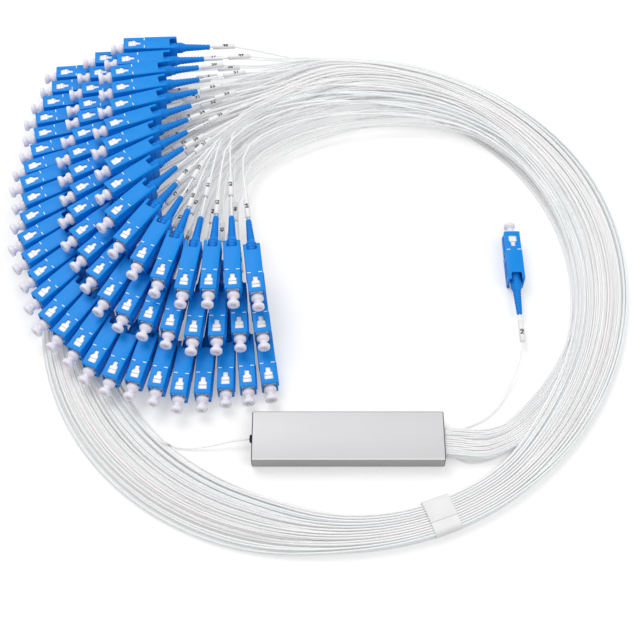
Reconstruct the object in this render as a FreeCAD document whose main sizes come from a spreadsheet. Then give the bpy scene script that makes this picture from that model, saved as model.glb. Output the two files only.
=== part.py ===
import FreeCAD, Part
import math
import os
import re

import Sketcher

# A 1x64 planar lightwave circuit fibre splitter, in millimetres.
#
# A slim steel housing holds the splitter chip. One input tail leaves its left end and 64 output
# tails leave its right end. The tails lie in one large flat coil with a strap round it, and end
# in SC plugs that lie in three layers, as a fan. The origin is the middle of the housing's base,
# +X runs along the housing to its output end and +Z is up.
#
# Every plug is made in its own plug frame: the origin is the middle of the grip's front face,
# +X points out of the plug, and the two latch windows face +Z and -Z.

DOC = FreeCAD.newDocument("fibre_splitter")
SHEET = DOC.addObject("Spreadsheet::Sheet", "Sizes")

DRIVING_SIZES = [
    # housing
    ("housing_length", 83.0), ("housing_width", 23.0), ("housing_height", 8.0),
    ("housing_wall", 0.6), ("housing_corner", 1.0), ("cap_depth", 3.0),
    ("exit_width", 15.6), ("exit_height", 5.0), ("gland_radius", 1.7), ("gland_reach", 1.2),
    ("tube_diameter", 0.9), ("fit_gap", 0.05),
    # the sealed splitter module inside the housing
    ("case_length", 54.0), ("case_width", 12.4), ("case_height", 4.4), ("case_wall", 0.3),
    ("seal_depth", 2.0), ("chip_length", 24.0), ("chip_width", 9.6), ("chip_height", 1.0),
    ("cover_height", 1.0), ("array_length", 8.0), ("input_array_width", 2.5), ("pad_height", 0.8),
    ("ribbon_count", 8.0), ("ribbon_width", 2.1), ("ribbon_height", 0.3), ("fanout_length", 11.0),
    ("bare_fibre_width", 0.4),
    # SC plug
    ("grip_length", 26.6), ("grip_front_length", 10.4), ("grip_width", 7.4), ("grip_height", 9.0),
    ("grip_shoulder", 0.2), ("grip_edge", 0.35), ("key_width", 2.8), ("key_height", 0.5),
    ("key_start", 1.0), ("key_end", 12.0), ("window_start", 2.0), ("window_length", 5.0),
    ("window_width", 3.7), ("neck_length", 2.0), ("neck_width", 1.6), ("notch_depth", 3.6),
    ("notch_width", 3.4), ("frame_width", 5.8), ("frame_height", 7.6), ("frame_length", 20.0),
    ("ear_length", 2.0), ("ear_height", 0.5), ("mouth_radius", 2.45), ("mouth_depth", 7.0),
    ("wall_end", 8.2), ("chamber_radius", 2.3), ("ferrule_radius", 1.25), ("ferrule_reach", 1.6),
    ("ferrule_length", 11.1), ("flange_radius", 2.1), ("flange_length", 3.8),
    ("spring_radius", 1.9), ("spring_wire", 0.4), ("spring_turns", 4.5), ("stop_front", 17.2),
    ("stop_shoulder", 1.6), ("stop_tail_radius", 1.9), ("stop_end", 29.0),
    ("boot_root_radius", 2.7), ("boot_tip_radius", 1.35), ("boot_start", 22.0),
    ("boot_taper_start", 28.5), ("boot_end", 43.2),
    # dust cap
    ("cap_nose_radius", 2.1), ("cap_nose_length", 5.0), ("cap_flange_radius", 2.8),
    ("cap_flange_length", 1.5), ("cap_waist_radius", 1.9), ("cap_length", 6.5),
    ("cap_end_length", 1.8),
    # number sleeve
    ("sleeve_radius", 1.3), ("sleeve_length", 11.0), ("input_sleeve_gap", 3.5),
    # coil and strap
    ("coil_x", -4.7), ("coil_y", 82.4), ("coil_outer", 138.0), ("coil_inner", 111.0),
    ("coil_height", 5.0), ("coil_edge", 1.4), ("coil_sides", 32.0),
    ("strap_angle", -69.5), ("strap_width", 13.0), ("strap_thick", 0.5), ("strap_gap", 0.95),
    # input plug
    ("input_x", 79.2), ("input_y", 105.9), ("input_angle", 91.0),
    # fan of output plugs: the tips lie on a cubic curve with these four control points
    ("tip_1_x", -153.0), ("tip_1_y", 207.0), ("tip_2_x", -177.0), ("tip_2_y", 124.0),
    ("tip_3_x", -158.0), ("tip_3_y", -24.0), ("tip_4_x", -29.0), ("tip_4_y", 21.0),
    ("first_heading", 184.0), ("last_heading", 279.0), ("heading_power", 1.2),
    ("layer_gap", 0.3), ("layer_one_count", 26.0), ("layer_two_count", 21.0),
    ("layer_three_count", 17.0), ("layer_two_setback", 20.0), ("layer_three_setback", 35.0),
    ("setback_swell", 0.4), ("layer_two_pitch", -2.0), ("layer_three_pitch", -3.0),
    ("fan_sway", 0.25), ("fan_stagger", 1.2),
    # what the lowest layer lies on: beside the coil, on top of it, and the floor
    ("rest_height", 2.6), ("rest_from", 0.23), ("rest_to", 0.29), ("rest_lead", 0.07),
    ("floor_from", 0.74), ("floor_to", 0.92), ("floor_lag", 0.05),
    # tails between the coil and the plugs
    ("leave_first_angle", 100.0), ("leave_last_angle", 46.0), ("leave_radius", 60.0),
    ("sleeve_step", 9.0), ("sleeve_stagger", 11.0), ("sleeve_clear", 1.5),
]
for row, (alias, value) in enumerate(DRIVING_SIZES, start=1):
    SHEET.set(f"A{row}", alias)
    SHEET.set(f"B{row}", f"{value:g}")
    SHEET.setAlias(f"B{row}", alias)
DOC.recompute()

ALIASES = {alias for alias, _ in DRIVING_SIZES}
JOINTED_OUTPUTS = (2, 7, 12, 17, 22)
ROUND_SIDES = 12
PLAIN_SIDES = 6
ARC_STEP_DEGREES = 20
NODES = {}


def size(expression):
    """Value of an expression of sheet aliases, as a plain number."""
    result = SHEET.evalExpression(expression)
    return float(getattr(result, "Value", result))


def bound(expression):
    """The same expression, as another object of the document reads it from the sheet."""
    return re.sub(r"[a-z]\w*", lambda word: "Sizes." + word.group(0)
                  if word.group(0) in ALIASES else word.group(0), expression)


# ---------------------------------------------------------------- sketches and features

def new_body(label):
    """Empty PartDesign body that is kept as the node of that name."""
    body = DOC.addObject("PartDesign::Body", label)
    body.Label = label
    return body


def new_sketch(body, plane, offset="0"):
    """Sketch on one of the body's origin planes, moved along the plane's normal."""
    sketch = body.newObject("Sketcher::SketchObject", body.Label + "_sketch")
    base = next(f for f in body.Origin.OriginFeatures if f.Role == plane)
    sketch.AttachmentSupport = [(base, "")]
    sketch.MapMode = "FlatFace"
    sketch.setExpression("AttachmentOffset.Base.z", bound(offset))
    return sketch


def draw_outline(sketch, corners):
    """Closed outline of straight edges whose corners are pairs of expressions."""
    first = sketch.GeometryCount
    points = [FreeCAD.Vector(size(x), size(y), 0) for x, y in corners]
    count = len(points)
    for k in range(count):
        sketch.addGeometry(Part.LineSegment(points[k], points[(k + 1) % count]), False)
    for k in range(count):
        sketch.addConstraint(Sketcher.Constraint("Coincident", first + k, 2,
                                                 first + (k + 1) % count, 1))
    for k, (x, y) in enumerate(corners):
        for kind, expression, value in (("DistanceX", x, points[k].x), ("DistanceY", y, points[k].y)):
            index = sketch.addConstraint(Sketcher.Constraint(kind, -1, 1, first + k, 1, value))
            sketch.setExpression(f"Constraints[{index}]", bound(expression))


def draw_rectangle(sketch, left, right, low, high):
    """Closed rectangle from four expressions."""
    draw_outline(sketch, [(left, low), (right, low), (right, high), (left, high)])


def draw_circle(sketch, x, y, radius):
    """Circle from three expressions."""
    place = FreeCAD.Vector(size(x), size(y), 0)
    circle = sketch.addGeometry(Part.Circle(place, FreeCAD.Vector(0, 0, 1), size(radius)), False)
    for kind, expression, value in (("DistanceX", x, place.x), ("DistanceY", y, place.y)):
        index = sketch.addConstraint(Sketcher.Constraint(kind, -1, 1, circle, 3, value))
        sketch.setExpression(f"Constraints[{index}]", bound(expression))
    index = sketch.addConstraint(Sketcher.Constraint("Radius", circle, size(radius)))
    sketch.setExpression(f"Constraints[{index}]", bound(radius))


def pad(body, sketch, length, middle=False):
    """Pad of a sketch along its normal, or to both sides of its plane."""
    feature = body.newObject("PartDesign::Pad", body.Label + "_pad")
    feature.Profile = sketch
    feature.Midplane = middle
    feature.setExpression("Length", bound(length))
    return feature


def pocket(body, sketch, length=None):
    """Pocket through the whole body to both sides of the sketch, or of a given depth each way."""
    feature = body.newObject("PartDesign::Pocket", body.Label + "_pocket")
    feature.Profile = sketch
    if length is None:
        feature.Type = "ThroughAll"
        feature.Midplane = True
    else:
        feature.Midplane = True
        feature.setExpression("Length", bound("2 * (" + length + ")"))
    return feature


def turned_body(label, corners):
    """Body turned about X from half a section, whose corners are (x, radius) expressions."""
    body = new_body(label)
    sketch = new_sketch(body, "XY_Plane")
    draw_outline(sketch, corners)
    turn = body.newObject("PartDesign::Revolution", label + "_turn")
    turn.Profile = sketch
    turn.ReferenceAxis = (sketch, ["H_Axis"])
    turn.Angle = 360
    return body


def block_body(label, left, right, low, high, base, top):
    """Body with the form of a block between six expressions: X, Y and Z limits."""
    body = new_body(label)
    sketch = new_sketch(body, "XY_Plane", base)
    draw_rectangle(sketch, left, right, low, high)
    pad(body, sketch, "(" + top + ") - (" + base + ")")
    return body


def round_edges(body, feature, radius, chosen):
    """Fillet on the edges of a feature that the test picks."""
    return dress_edges(body, feature, "PartDesign::Fillet", "Radius", radius, chosen)


def bevel_edges(body, feature, reach, chosen):
    """Chamfer on the edges of a feature that the test picks."""
    return dress_edges(body, feature, "PartDesign::Chamfer", "Size", reach, chosen)


def dress_edges(body, feature, kind, quantity, value, chosen):
    """Fillet or chamfer on the edges of a feature that the test picks."""
    DOC.recompute()
    names = [f"Edge{k}" for k, edge in enumerate(feature.Shape.Edges, start=1) if chosen(edge)]
    dressed = body.newObject(kind, body.Label + "_edges")
    dressed.Base = (feature, names)
    dressed.setExpression(quantity, bound(value))
    return dressed


def runs_along(axis):
    """Test that picks straight edges along one of the axes."""
    def test(edge):
        if not isinstance(edge.Curve, Part.Line):
            return False
        direction = edge.Curve.Direction
        return abs(abs(getattr(direction, axis)) - 1) < 1e-6
    return test


def keep(label, shape):
    """Plain feature that holds a shape made by Part's own functions, kept as a node."""
    feature = DOC.addObject("Part::Feature", label)
    feature.Label = label
    feature.Shape = shape
    NODES[label] = feature
    return feature


def faceted_turn(sides, stations):
    """Solid about X with flat facets, from (x, radius) stations, closed at both ends."""
    rings = [[FreeCAD.Vector(x, radius * math.cos(2 * math.pi * (k + 0.5) / sides),
                             radius * math.sin(2 * math.pi * (k + 0.5) / sides))
              for k in range(sides)] for x, radius in stations]
    faces = [Part.Face(Part.makePolygon(ring + ring[:1])) for ring in (rings[0], rings[-1])]
    for near, far in zip(rings, rings[1:]):
        for k in range(sides):
            m = (k + 1) % sides
            faces.append(Part.Face(Part.makePolygon([near[k], near[m], far[m], far[k], near[k]])))
    solid = Part.Solid(Part.Shell(faces))
    return solid if solid.Volume > 0 else solid.reversed()


def stations_of(pairs):
    """Stations of a faceted piece from (x, radius) expressions."""
    return [(size(x), size(radius)) for x, radius in pairs]


# ---------------------------------------------------------------- housing

HALF = "housing_length / 2"
MIDDLE = "housing_height / 2"


def build_housing():
    """Rectangular steel tube with its two end caps, gland and the resin at the tails' exit."""
    tube = new_body("housing_tube")
    outer = new_sketch(tube, "YZ_Plane", "-" + HALF)
    draw_rectangle(outer, "-housing_width / 2", "housing_width / 2", "0", "housing_height")
    blank = pad(tube, outer, "housing_length")
    round_edges(tube, blank, "housing_corner", runs_along("x"))
    inner = new_sketch(tube, "YZ_Plane", "0")
    draw_rectangle(inner, "-housing_width / 2 + housing_wall", "housing_width / 2 - housing_wall",
                   "housing_wall", "housing_height - housing_wall")
    pocket(tube, inner)
    NODES["housing_tube"] = tube

    side = "housing_width / 2 - housing_wall"
    low, high = "housing_wall", "housing_height - housing_wall"
    input_cap = block_body("input_end_cap", "-" + HALF + " + 0.2", "-" + HALF + " + cap_depth",
                           "-(" + side + ")", side, low, high)
    hole = new_sketch(input_cap, "YZ_Plane", "-" + HALF)
    draw_circle(hole, "0", MIDDLE, "gland_radius")
    pocket(input_cap, hole)
    NODES["input_end_cap"] = input_cap

    output_cap = block_body("output_end_cap", HALF + " - cap_depth", HALF + " - 0.2",
                            "-(" + side + ")", side, low, high)
    window = new_sketch(output_cap, "YZ_Plane", HALF)
    draw_rectangle(window, "-exit_width / 2", "exit_width / 2", MIDDLE + " - exit_height / 2",
                   MIDDLE + " + exit_height / 2")
    pocket(output_cap, window)
    NODES["output_end_cap"] = output_cap
    NODES["exit_resin"] = block_body(
        "exit_resin", HALF + " - cap_depth", HALF + " - 0.6", "-exit_width / 2", "exit_width / 2",
        MIDDLE + " - exit_height / 2", MIDDLE + " + exit_height / 2")

    stem = faceted_turn(ROUND_SIDES, stations_of([
        ("-gland_reach", "gland_radius - 0.6"), ("-0.8", "gland_radius + 0.4"),
        ("-0.02", "gland_radius + 0.4"), ("0", "gland_radius"),
        ("cap_depth - 0.2", "gland_radius")]))
    passage = Part.makeCylinder(size("tube_diameter / 2"), size("gland_reach + cap_depth"),
                                FreeCAD.Vector(-size("gland_reach"), 0, 0), FreeCAD.Vector(1, 0, 0))
    keep("input_gland", stem.cut(passage).translated(
        FreeCAD.Vector(size("0.2 - housing_length / 2"), 0, size(MIDDLE))))


def build_module():
    """Sealed module inside the housing: case, seals, chip, cover, fibre arrays and ribbons."""
    base = "housing_wall + pad_height"
    case_start = "-" + HALF + " + cap_depth + 2"
    case_end = case_start + " + case_length"
    level = base + " + case_height / 2"
    NODES["adhesive_pad"] = block_body("adhesive_pad", case_start + " + 4", case_end + " - 4",
                                       "-case_width / 2 + 1", "case_width / 2 - 1",
                                       "housing_wall", base)
    case = new_body("module_case")
    outer = new_sketch(case, "YZ_Plane", case_start)
    draw_rectangle(outer, "-case_width / 2", "case_width / 2", base, base + " + case_height")
    pad(case, outer, "case_length")
    inner = new_sketch(case, "YZ_Plane", "0")
    draw_rectangle(inner, "-case_width / 2 + case_wall", "case_width / 2 - case_wall",
                   base + " + case_wall", base + " + case_height - case_wall")
    pocket(case, inner)
    NODES["module_case"] = case

    for name, start, low_y, slot in (
            ("input_seal", case_start, "0", "bare_fibre_width / 2"),
            ("output_seal", case_end + " - seal_depth", "0", "chip_width / 2 - 0.5")):
        seal = block_body(name, start, start + " + seal_depth", "-case_width / 2 + case_wall",
                          "case_width / 2 - case_wall", base + " + case_wall",
                          base + " + case_height - case_wall")
        opening = new_sketch(seal, "YZ_Plane", "0")
        draw_rectangle(opening, low_y + " - (" + slot + ")", low_y + " + " + slot,
                       level + " - bare_fibre_width / 2", level + " + bare_fibre_width / 2")
        pocket(seal, opening)
        NODES[name] = seal

    chip_start = case_start + " + seal_depth + 3 + array_length"
    chip_end = chip_start + " + chip_length"
    NODES["splitter_chip"] = block_body(
        "splitter_chip", chip_start, chip_end, "-chip_width / 2", "chip_width / 2",
        level + " - chip_height", level)
    NODES["chip_cover"] = block_body(
        "chip_cover", chip_start, chip_end, "-chip_width / 2", "chip_width / 2",
        level, level + " + cover_height")
    NODES["input_fibre_array"] = block_body(
        "input_fibre_array", chip_start + " - array_length", chip_start,
        "-input_array_width / 2", "input_array_width / 2",
        level + " - chip_height", level + " + cover_height")
    NODES["output_fibre_array"] = block_body(
        "output_fibre_array", chip_end, chip_end + " + array_length",
        "-chip_width / 2", "chip_width / 2", level + " - chip_height", level + " + cover_height")
    NODES["bare_input_fibre"] = block_body(
        "bare_input_fibre", "-" + HALF + " + cap_depth", chip_start + " - array_length",
        "-bare_fibre_width / 2", "bare_fibre_width / 2",
        level + " - bare_fibre_width / 2", level + " + bare_fibre_width / 2")

    fanout_start = HALF + " - cap_depth - fanout_length"
    NODES["fanout_block"] = block_body(
        "fanout_block", fanout_start, HALF + " - cap_depth", "-exit_width / 2", "exit_width / 2",
        MIDDLE + " - exit_height / 2", MIDDLE + " + exit_height / 2")
    ribbon = block_body(
        "ribbon_pattern", chip_end + " + array_length", fanout_start,
        "-chip_width / 2 + 0.5", "chip_width / 2 - 0.5",
        level + " - ribbon_height / 2", level + " + ribbon_height / 2")
    ribbon.Label = "output_ribbons"
    NODES["output_ribbons"] = ribbon


# ---------------------------------------------------------------- SC plug, full detail

def grip_outline(sketch):
    """Plan of the grip: front part, shoulder and the rear notch for the fingers' side."""
    front, rear = "grip_width / 2", "grip_width / 2 + grip_shoulder"
    draw_outline(sketch, [
        ("0", "-" + front), ("0", front), ("-grip_front_length", front),
        ("-grip_front_length - 0.6", rear), ("-grip_length", rear),
        ("-grip_length", "-(" + rear + ")"), ("-grip_front_length - 0.6", "-(" + rear + ")"),
        ("-grip_front_length", "-" + front)])


def build_grip(label, fine):
    """Grip that slides on the plug frame, with its key, latch windows and rear notches."""
    grip = new_body(label)
    plan = new_sketch(grip, "XY_Plane")
    grip_outline(plan)
    blank = pad(grip, plan, "grip_height", middle=True)
    if fine:
        bevel_edges(grip, blank, "grip_edge", runs_along("x"))
    key = new_sketch(grip, "XY_Plane")
    draw_rectangle(key, "-key_end", "-key_start", "grip_width / 2 - 0.5",
                   "grip_width / 2 + key_height")
    pad(grip, key, "key_width", middle=True)
    cavity = new_sketch(grip, "YZ_Plane")
    draw_rectangle(cavity, "-frame_width / 2 - fit_gap", "frame_width / 2 + fit_gap",
                   "-frame_height / 2 - fit_gap", "frame_height / 2 + fit_gap")
    pocket(grip, cavity)
    windows = new_sketch(grip, "XY_Plane")
    wide, slim = "window_width / 2", "neck_width / 2"
    shoulder = "-window_start - window_length"
    if fine:
        draw_outline(windows, [
            ("-window_start", "-" + wide), ("-window_start", wide), (shoulder + " + 0.8", wide),
            (shoulder, slim), (shoulder + " - neck_length", slim),
            (shoulder + " - neck_length", "-" + slim), (shoulder, "-" + slim),
            (shoulder + " + 0.8", "-" + wide)])
    else:
        draw_rectangle(windows, shoulder, "-window_start", "-" + wide, wide)
    pocket(grip, windows)
    if fine:
        notch = new_sketch(grip, "XY_Plane")
        draw_outline(notch, [
            ("-grip_length - 1", "-notch_width / 2"), ("-grip_length - 1", "notch_width / 2"),
            ("-grip_length + notch_depth - 0.9", "notch_width / 2"),
            ("-grip_length + notch_depth", "notch_width / 2 - 0.9"),
            ("-grip_length + notch_depth", "-notch_width / 2 + 0.9"),
            ("-grip_length + notch_depth - 0.9", "-notch_width / 2")])
        pocket(grip, notch)
    return grip


def build_frame(label, fine):
    """Plug frame that holds the ferrule, with the ears that stop the grip at both ends."""
    frame = new_body(label)
    plan = new_sketch(frame, "XY_Plane")
    draw_rectangle(plan, "-frame_length", "0", "-frame_width / 2", "frame_width / 2")
    pad(frame, plan, "frame_height", middle=True)
    ears = new_sketch(frame, "XY_Plane")
    rear = "-window_start - window_length + 0.9"
    draw_rectangle(ears, rear, rear + " + ear_length", "-window_width / 2 + 0.1",
                   "window_width / 2 - 0.1")
    pad(frame, ears, "frame_height + 2 * ear_height", middle=True)
    if fine:
        bore = new_sketch(frame, "XY_Plane")
        draw_outline(bore, [
            ("1", "0"), ("1", "mouth_radius"), ("-mouth_depth", "mouth_radius"),
            ("-mouth_depth", "ferrule_radius + fit_gap"), ("-wall_end", "ferrule_radius + fit_gap"),
            ("-wall_end", "chamber_radius"), ("-frame_length - 1", "chamber_radius"),
            ("-frame_length - 1", "0")])
        groove = frame.newObject("PartDesign::Groove", label + "_bore")
        groove.Profile = bore
        groove.ReferenceAxis = (bore, ["H_Axis"])
        groove.Angle = 360
    return frame


def build_input_plug():
    """Every piece of the input plug, turned and moved to where the plug lies."""
    pieces = {
        "input_grip": build_grip("input_grip", fine=True),
        "input_plug_frame": build_frame("input_plug_frame", fine=True),
        "input_ferrule": turned_body("input_ferrule", [
            ("ferrule_reach", "0"), ("ferrule_reach", "ferrule_radius - 0.3"),
            ("ferrule_reach - 0.5", "ferrule_radius"),
            ("ferrule_reach - ferrule_length", "ferrule_radius"),
            ("ferrule_reach - ferrule_length", "0")]),
        "input_ferrule_flange": turned_body("input_ferrule_flange", [
            ("-wall_end - fit_gap", "ferrule_radius"), ("-wall_end - fit_gap", "flange_radius"),
            ("-wall_end - flange_length", "flange_radius"),
            ("-wall_end - flange_length", "ferrule_radius")]),
    }
    place = input_placement()
    for label, body in pieces.items():
        body.Placement = place
        NODES[label] = body

    bore = size("tube_diameter / 2")
    hollow = Part.makeCylinder(bore, 60, FreeCAD.Vector(-60, 0, 0), FreeCAD.Vector(1, 0, 0))
    stop = faceted_turn(ROUND_SIDES, stations_of([
        ("-stop_end", "stop_tail_radius"), ("-frame_length - stop_shoulder", "stop_tail_radius"),
        ("-frame_length - stop_shoulder + 0.001", "frame_width / 2 - 0.1"),
        ("-frame_length - 0.001", "frame_width / 2 - 0.1"), ("-frame_length", "chamber_radius"),
        ("-stop_front", "chamber_radius")]))
    boot = faceted_turn(ROUND_SIDES, stations_of(BOOT_STATIONS + [("-boot_start", "boot_root_radius")]))
    socket = Part.makeCylinder(size("stop_tail_radius"), size("stop_end - boot_start"),
                               FreeCAD.Vector(-size("stop_end"), 0, 0), FreeCAD.Vector(1, 0, 0))
    sleeve = faceted_turn(ROUND_SIDES, stations_of([
        ("-boot_end - input_sleeve_gap - sleeve_length", "sleeve_radius"),
        ("-boot_end - input_sleeve_gap", "sleeve_radius")]))
    cap = faceted_turn(ROUND_SIDES, stations_of(CAP_STATIONS))
    ferrule_socket = Part.makeCylinder(
        size("ferrule_radius + fit_gap"), size("cap_nose_length + ferrule_reach + 0.4"),
        FreeCAD.Vector(-size("cap_nose_length"), 0, 0), FreeCAD.Vector(1, 0, 0))
    for label, shape in (("input_spring_stop", stop.cut(hollow)),
                         ("input_boot", boot.cut([hollow, socket])),
                         ("input_label_sleeve", sleeve.cut(hollow)),
                         ("input_dust_cap", cap.cut(ferrule_socket)),
                         ("input_spring", ferrule_spring())):
        keep(label, shape.transformed(place.toMatrix()))


BOOT_STATIONS = [("-boot_end", "boot_tip_radius"),
                 ("-boot_taper_start - 3", "boot_tip_radius + 0.5"),
                 ("-boot_taper_start", "boot_root_radius")]
CAP_STATIONS = [("-cap_nose_length", "cap_nose_radius"), ("0", "cap_nose_radius"),
                ("0.02", "cap_flange_radius"), ("cap_flange_length", "cap_flange_radius"),
                ("cap_flange_length + 0.5", "cap_waist_radius"),
                ("cap_length - cap_end_length - 0.5", "cap_waist_radius"),
                ("cap_length - cap_end_length", "cap_flange_radius"),
                ("cap_length", "cap_flange_radius - 0.3")]


def ferrule_spring():
    """Spring between the ferrule's flange and the spring stop, of square wire with few faces."""
    steps = 8
    start = -size("stop_front") + size("spring_wire / 2") + 0.02
    end = -size("wall_end + flange_length") - size("spring_wire / 2") - 0.02
    radius = size("spring_radius - spring_wire / 2")
    count = int(size("spring_turns") * steps)
    points = [FreeCAD.Vector(start + (end - start) * k / count,
                             radius * math.cos(2 * math.pi * k / steps),
                             radius * math.sin(2 * math.pi * k / steps)) for k in range(count + 1)]
    return mitred_tube(points, 4, size("spring_wire / 2"))


def axis_height():
    """Height of a plug's axis over what it lies on."""
    return size("grip_height / 2")


def input_placement():
    """Where the input plug lies inside the coil."""
    return FreeCAD.Placement(
        FreeCAD.Vector(size("input_x"), size("input_y"), axis_height()),
        FreeCAD.Rotation(FreeCAD.Vector(0, 0, 1), size("input_angle")))


# ---------------------------------------------------------------- SC plug, repeated in the fan

def build_patterns():
    """One of each piece of an output plug, with few faces, in the plug's own frame."""
    grip = build_grip("output_grip_pattern", fine=False)
    frame = build_frame("output_frame_pattern", fine=False)
    DOC.recompute()
    sides = PLAIN_SIDES
    mouth = faceted_turn(sides, stations_of([("-mouth_depth", "mouth_radius"), ("1", "mouth_radius")]))
    well = faceted_turn(sides, stations_of([("-wall_end", "ferrule_radius + 0.2"),
                                            ("0", "ferrule_radius + 0.2")]))
    chamber = faceted_turn(sides, stations_of([("-frame_length - 1", "chamber_radius"),
                                               ("-wall_end", "chamber_radius")]))
    ferrule = faceted_turn(sides, stations_of([("-wall_end", "ferrule_radius"),
                                               ("ferrule_reach", "ferrule_radius")]))
    socket = faceted_turn(sides, stations_of([("-cap_nose_length - 1", "ferrule_radius + 0.1"),
                                              ("ferrule_reach + 0.4", "ferrule_radius + 0.1")]))
    outer_cap = [("0.02", "cap_flange_radius"), ("cap_length / 2", "cap_waist_radius"),
                 ("cap_length", "cap_flange_radius")]
    nosed_cap = [("-cap_nose_length", "cap_nose_radius"), ("0", "cap_nose_radius")] + outer_cap
    long_boot = BOOT_STATIONS[:1] + BOOT_STATIONS[2:] + [("-frame_length", "boot_root_radius")]
    boot = BOOT_STATIONS[:1] + [("-grip_length", "boot_root_radius")]
    return {
        "grip": grip.Shape,
        "frame": frame.Shape.cut([mouth, well, chamber]),
        "ferrule": ferrule,
        "cap": faceted_turn(sides, stations_of(outer_cap)),
        "nosed_cap": faceted_turn(sides, stations_of(nosed_cap)).cut(socket),
        "boot": faceted_turn(sides, stations_of(boot)),
        "long_boot": faceted_turn(sides, stations_of(long_boot)),
        "plug": closed_plug(),
    }


def closed_plug():
    """Grip and plug frame as one solid, for the plugs that share one node."""
    plug = new_body("output_plug_pattern")
    plan = new_sketch(plug, "XY_Plane")
    grip_outline(plan)
    pad(plug, plan, "grip_height", middle=True)
    windows = new_sketch(plug, "XY_Plane", "grip_height / 2")
    draw_rectangle(windows, "-window_start - window_length", "-window_start",
                   "-window_width / 2", "window_width / 2")
    cut = pocket(plug, windows)
    cut.Type = "Length"
    cut.Length = size("grip_shoulder + 0.6") * 2
    DOC.recompute()
    return plug.Shape


class Plug:
    """Place of one output plug in the fan and of the tail that leads to it."""

    def __init__(self, layer, index, share, place, gap):
        self.layer = layer
        self.index = index
        self.share = share
        self.place = place
        self.gap = gap

    def at(self, x):
        """Point on the plug's axis at a local X."""
        return self.place.multVec(FreeCAD.Vector(x, 0, 0))


def ease(value, low, high):
    """Smooth step from 0 at low to 1 at high."""
    share = min(1.0, max(0.0, (value - low) / (high - low)))
    return share * share * (3 - 2 * share)


def base_height(share, layer):
    """Height that the lowest layer lies on under a plug: beside the coil, on it, then the floor."""
    top = size("coil_height") + 0.2
    low = size("rest_height")
    up = ease(share + size("rest_lead") * layer, size("rest_from"), size("rest_to"))
    down = ease(share - size("floor_lag") * layer, size("floor_from"), size("floor_to"))
    return (low + (top - low) * up) * (1 - down)


def fan_of_plugs():
    """Places of all output plugs, layer by layer, from the first to the last.

    The tips lie on one cubic curve, and the headings turn steadily along it. The plugs of a layer
    are spaced evenly across their headings where they are closest, at the rear of their grips.
    """
    curve = Part.BezierCurve()
    curve.setPoles([FreeCAD.Vector(size(f"tip_{k}_x"), size(f"tip_{k}_y"), 0) for k in (1, 2, 3, 4)])
    fine_steps = 1200
    shares = [k / fine_steps for k in range(fine_steps + 1)]
    tips = [curve.value(share) for share in shares]
    headings = []
    for share in shares:
        turn = size("last_heading - first_heading") * share ** size("heading_power")
        angle = math.radians(size("first_heading") + turn)
        headings.append(FreeCAD.Vector(math.cos(angle), math.sin(angle), 0))
    body = size("cap_length + grip_length")
    layers = [(int(size("layer_one_count")), 0.0, 0.0),
              (int(size("layer_two_count")), size("layer_two_setback"), size("layer_two_pitch")),
              (int(size("layer_three_count")), size("layer_three_setback"),
               size("layer_three_pitch"))]
    plugs = []
    for layer, (count, least, pitch) in enumerate(layers):
        rise = layer * size("grip_height + layer_gap")
        setbacks = [least * (1 + size("setback_swell") * math.sin(math.pi * share))
                    for share in shares]
        rears = [tip - heading * (body + setback)
                 for tip, heading, setback in zip(tips, headings, setbacks)]
        reached = [0.0]
        for before, after, heading in zip(rears, rears[1:], headings[1:]):
            step = after - before
            reached.append(reached[-1] + abs(step.x * heading.y - step.y * heading.x))
        for index in range(count):
            share = (index + 0.5) / count
            k = next(n for n, length in enumerate(reached) if length >= share * reached[-1])
            heading = headings[k]
            sway = size("fan_sway") * math.sin(2.4 * index + 1.9 * layer)
            angle = math.degrees(math.atan2(heading.y, heading.x)) + sway
            stagger = size("fan_stagger") * math.sin(1.7 * index + 0.8 * layer)
            spot = tips[k] - heading * (size("cap_length") + setbacks[k] + stagger)
            spot.z = base_height(share, layer) + rise + size("grip_height / 2") + 0.02
            turn = FreeCAD.Rotation(FreeCAD.Vector(0, 0, 1), angle).multiply(
                FreeCAD.Rotation(FreeCAD.Vector(0, 1, 0), pitch))
            gap = size("sleeve_clear") + size("sleeve_step") * (2 - layer)
            gap += size("sleeve_stagger") * (index % 2)
            plugs.append(Plug(layer, index, share, FreeCAD.Placement(spot, turn), gap))
    return plugs


# ---------------------------------------------------------------- tails, coil and strap

def coil_point(angle, radius, height):
    """Point of the coil at an angle in degrees, a radius and a height."""
    turn = math.radians(angle)
    return FreeCAD.Vector(size("coil_x") + radius * math.cos(turn),
                          size("coil_y") + radius * math.sin(turn), height)


def mitred_tube(points, sides, radius, flatten=1.0, width=None):
    """Closed tube of straight runs with mitred corners and a regular or flattened section."""
    runs = [(b - a).normalize() for a, b in zip(points, points[1:])]
    across = runs[0].cross(FreeCAD.Vector(0, 0, 1)).normalize()
    upward = across.cross(runs[0]).normalize()
    ring = []
    for k in range(sides):
        turn = 2 * math.pi * (k + 0.5) / sides
        ring.append(points[0] + across * (width or radius) * math.cos(turn)
                    + upward * radius * flatten * math.sin(turn))
    rings = [ring]
    for k, run in enumerate(runs):
        normal = run + runs[k + 1] if k + 1 < len(runs) else FreeCAD.Vector(run)
        normal.normalize()
        ring = [corner + run * ((points[k + 1] - corner).dot(normal) / run.dot(normal))
                for corner in rings[-1]]
        rings.append(ring)
    faces = [Part.Face(Part.makePolygon(loop + loop[:1])) for loop in (rings[0], rings[-1])]
    for near, far in zip(rings, rings[1:]):
        for k in range(sides):
            m = (k + 1) % sides
            faces.append(Part.Face(Part.makePolygon([near[k], near[m], far[m], far[k], near[k]])))
    solid = Part.Solid(Part.Shell(faces))
    return solid if solid.Volume > 0 else solid.reversed()


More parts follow.
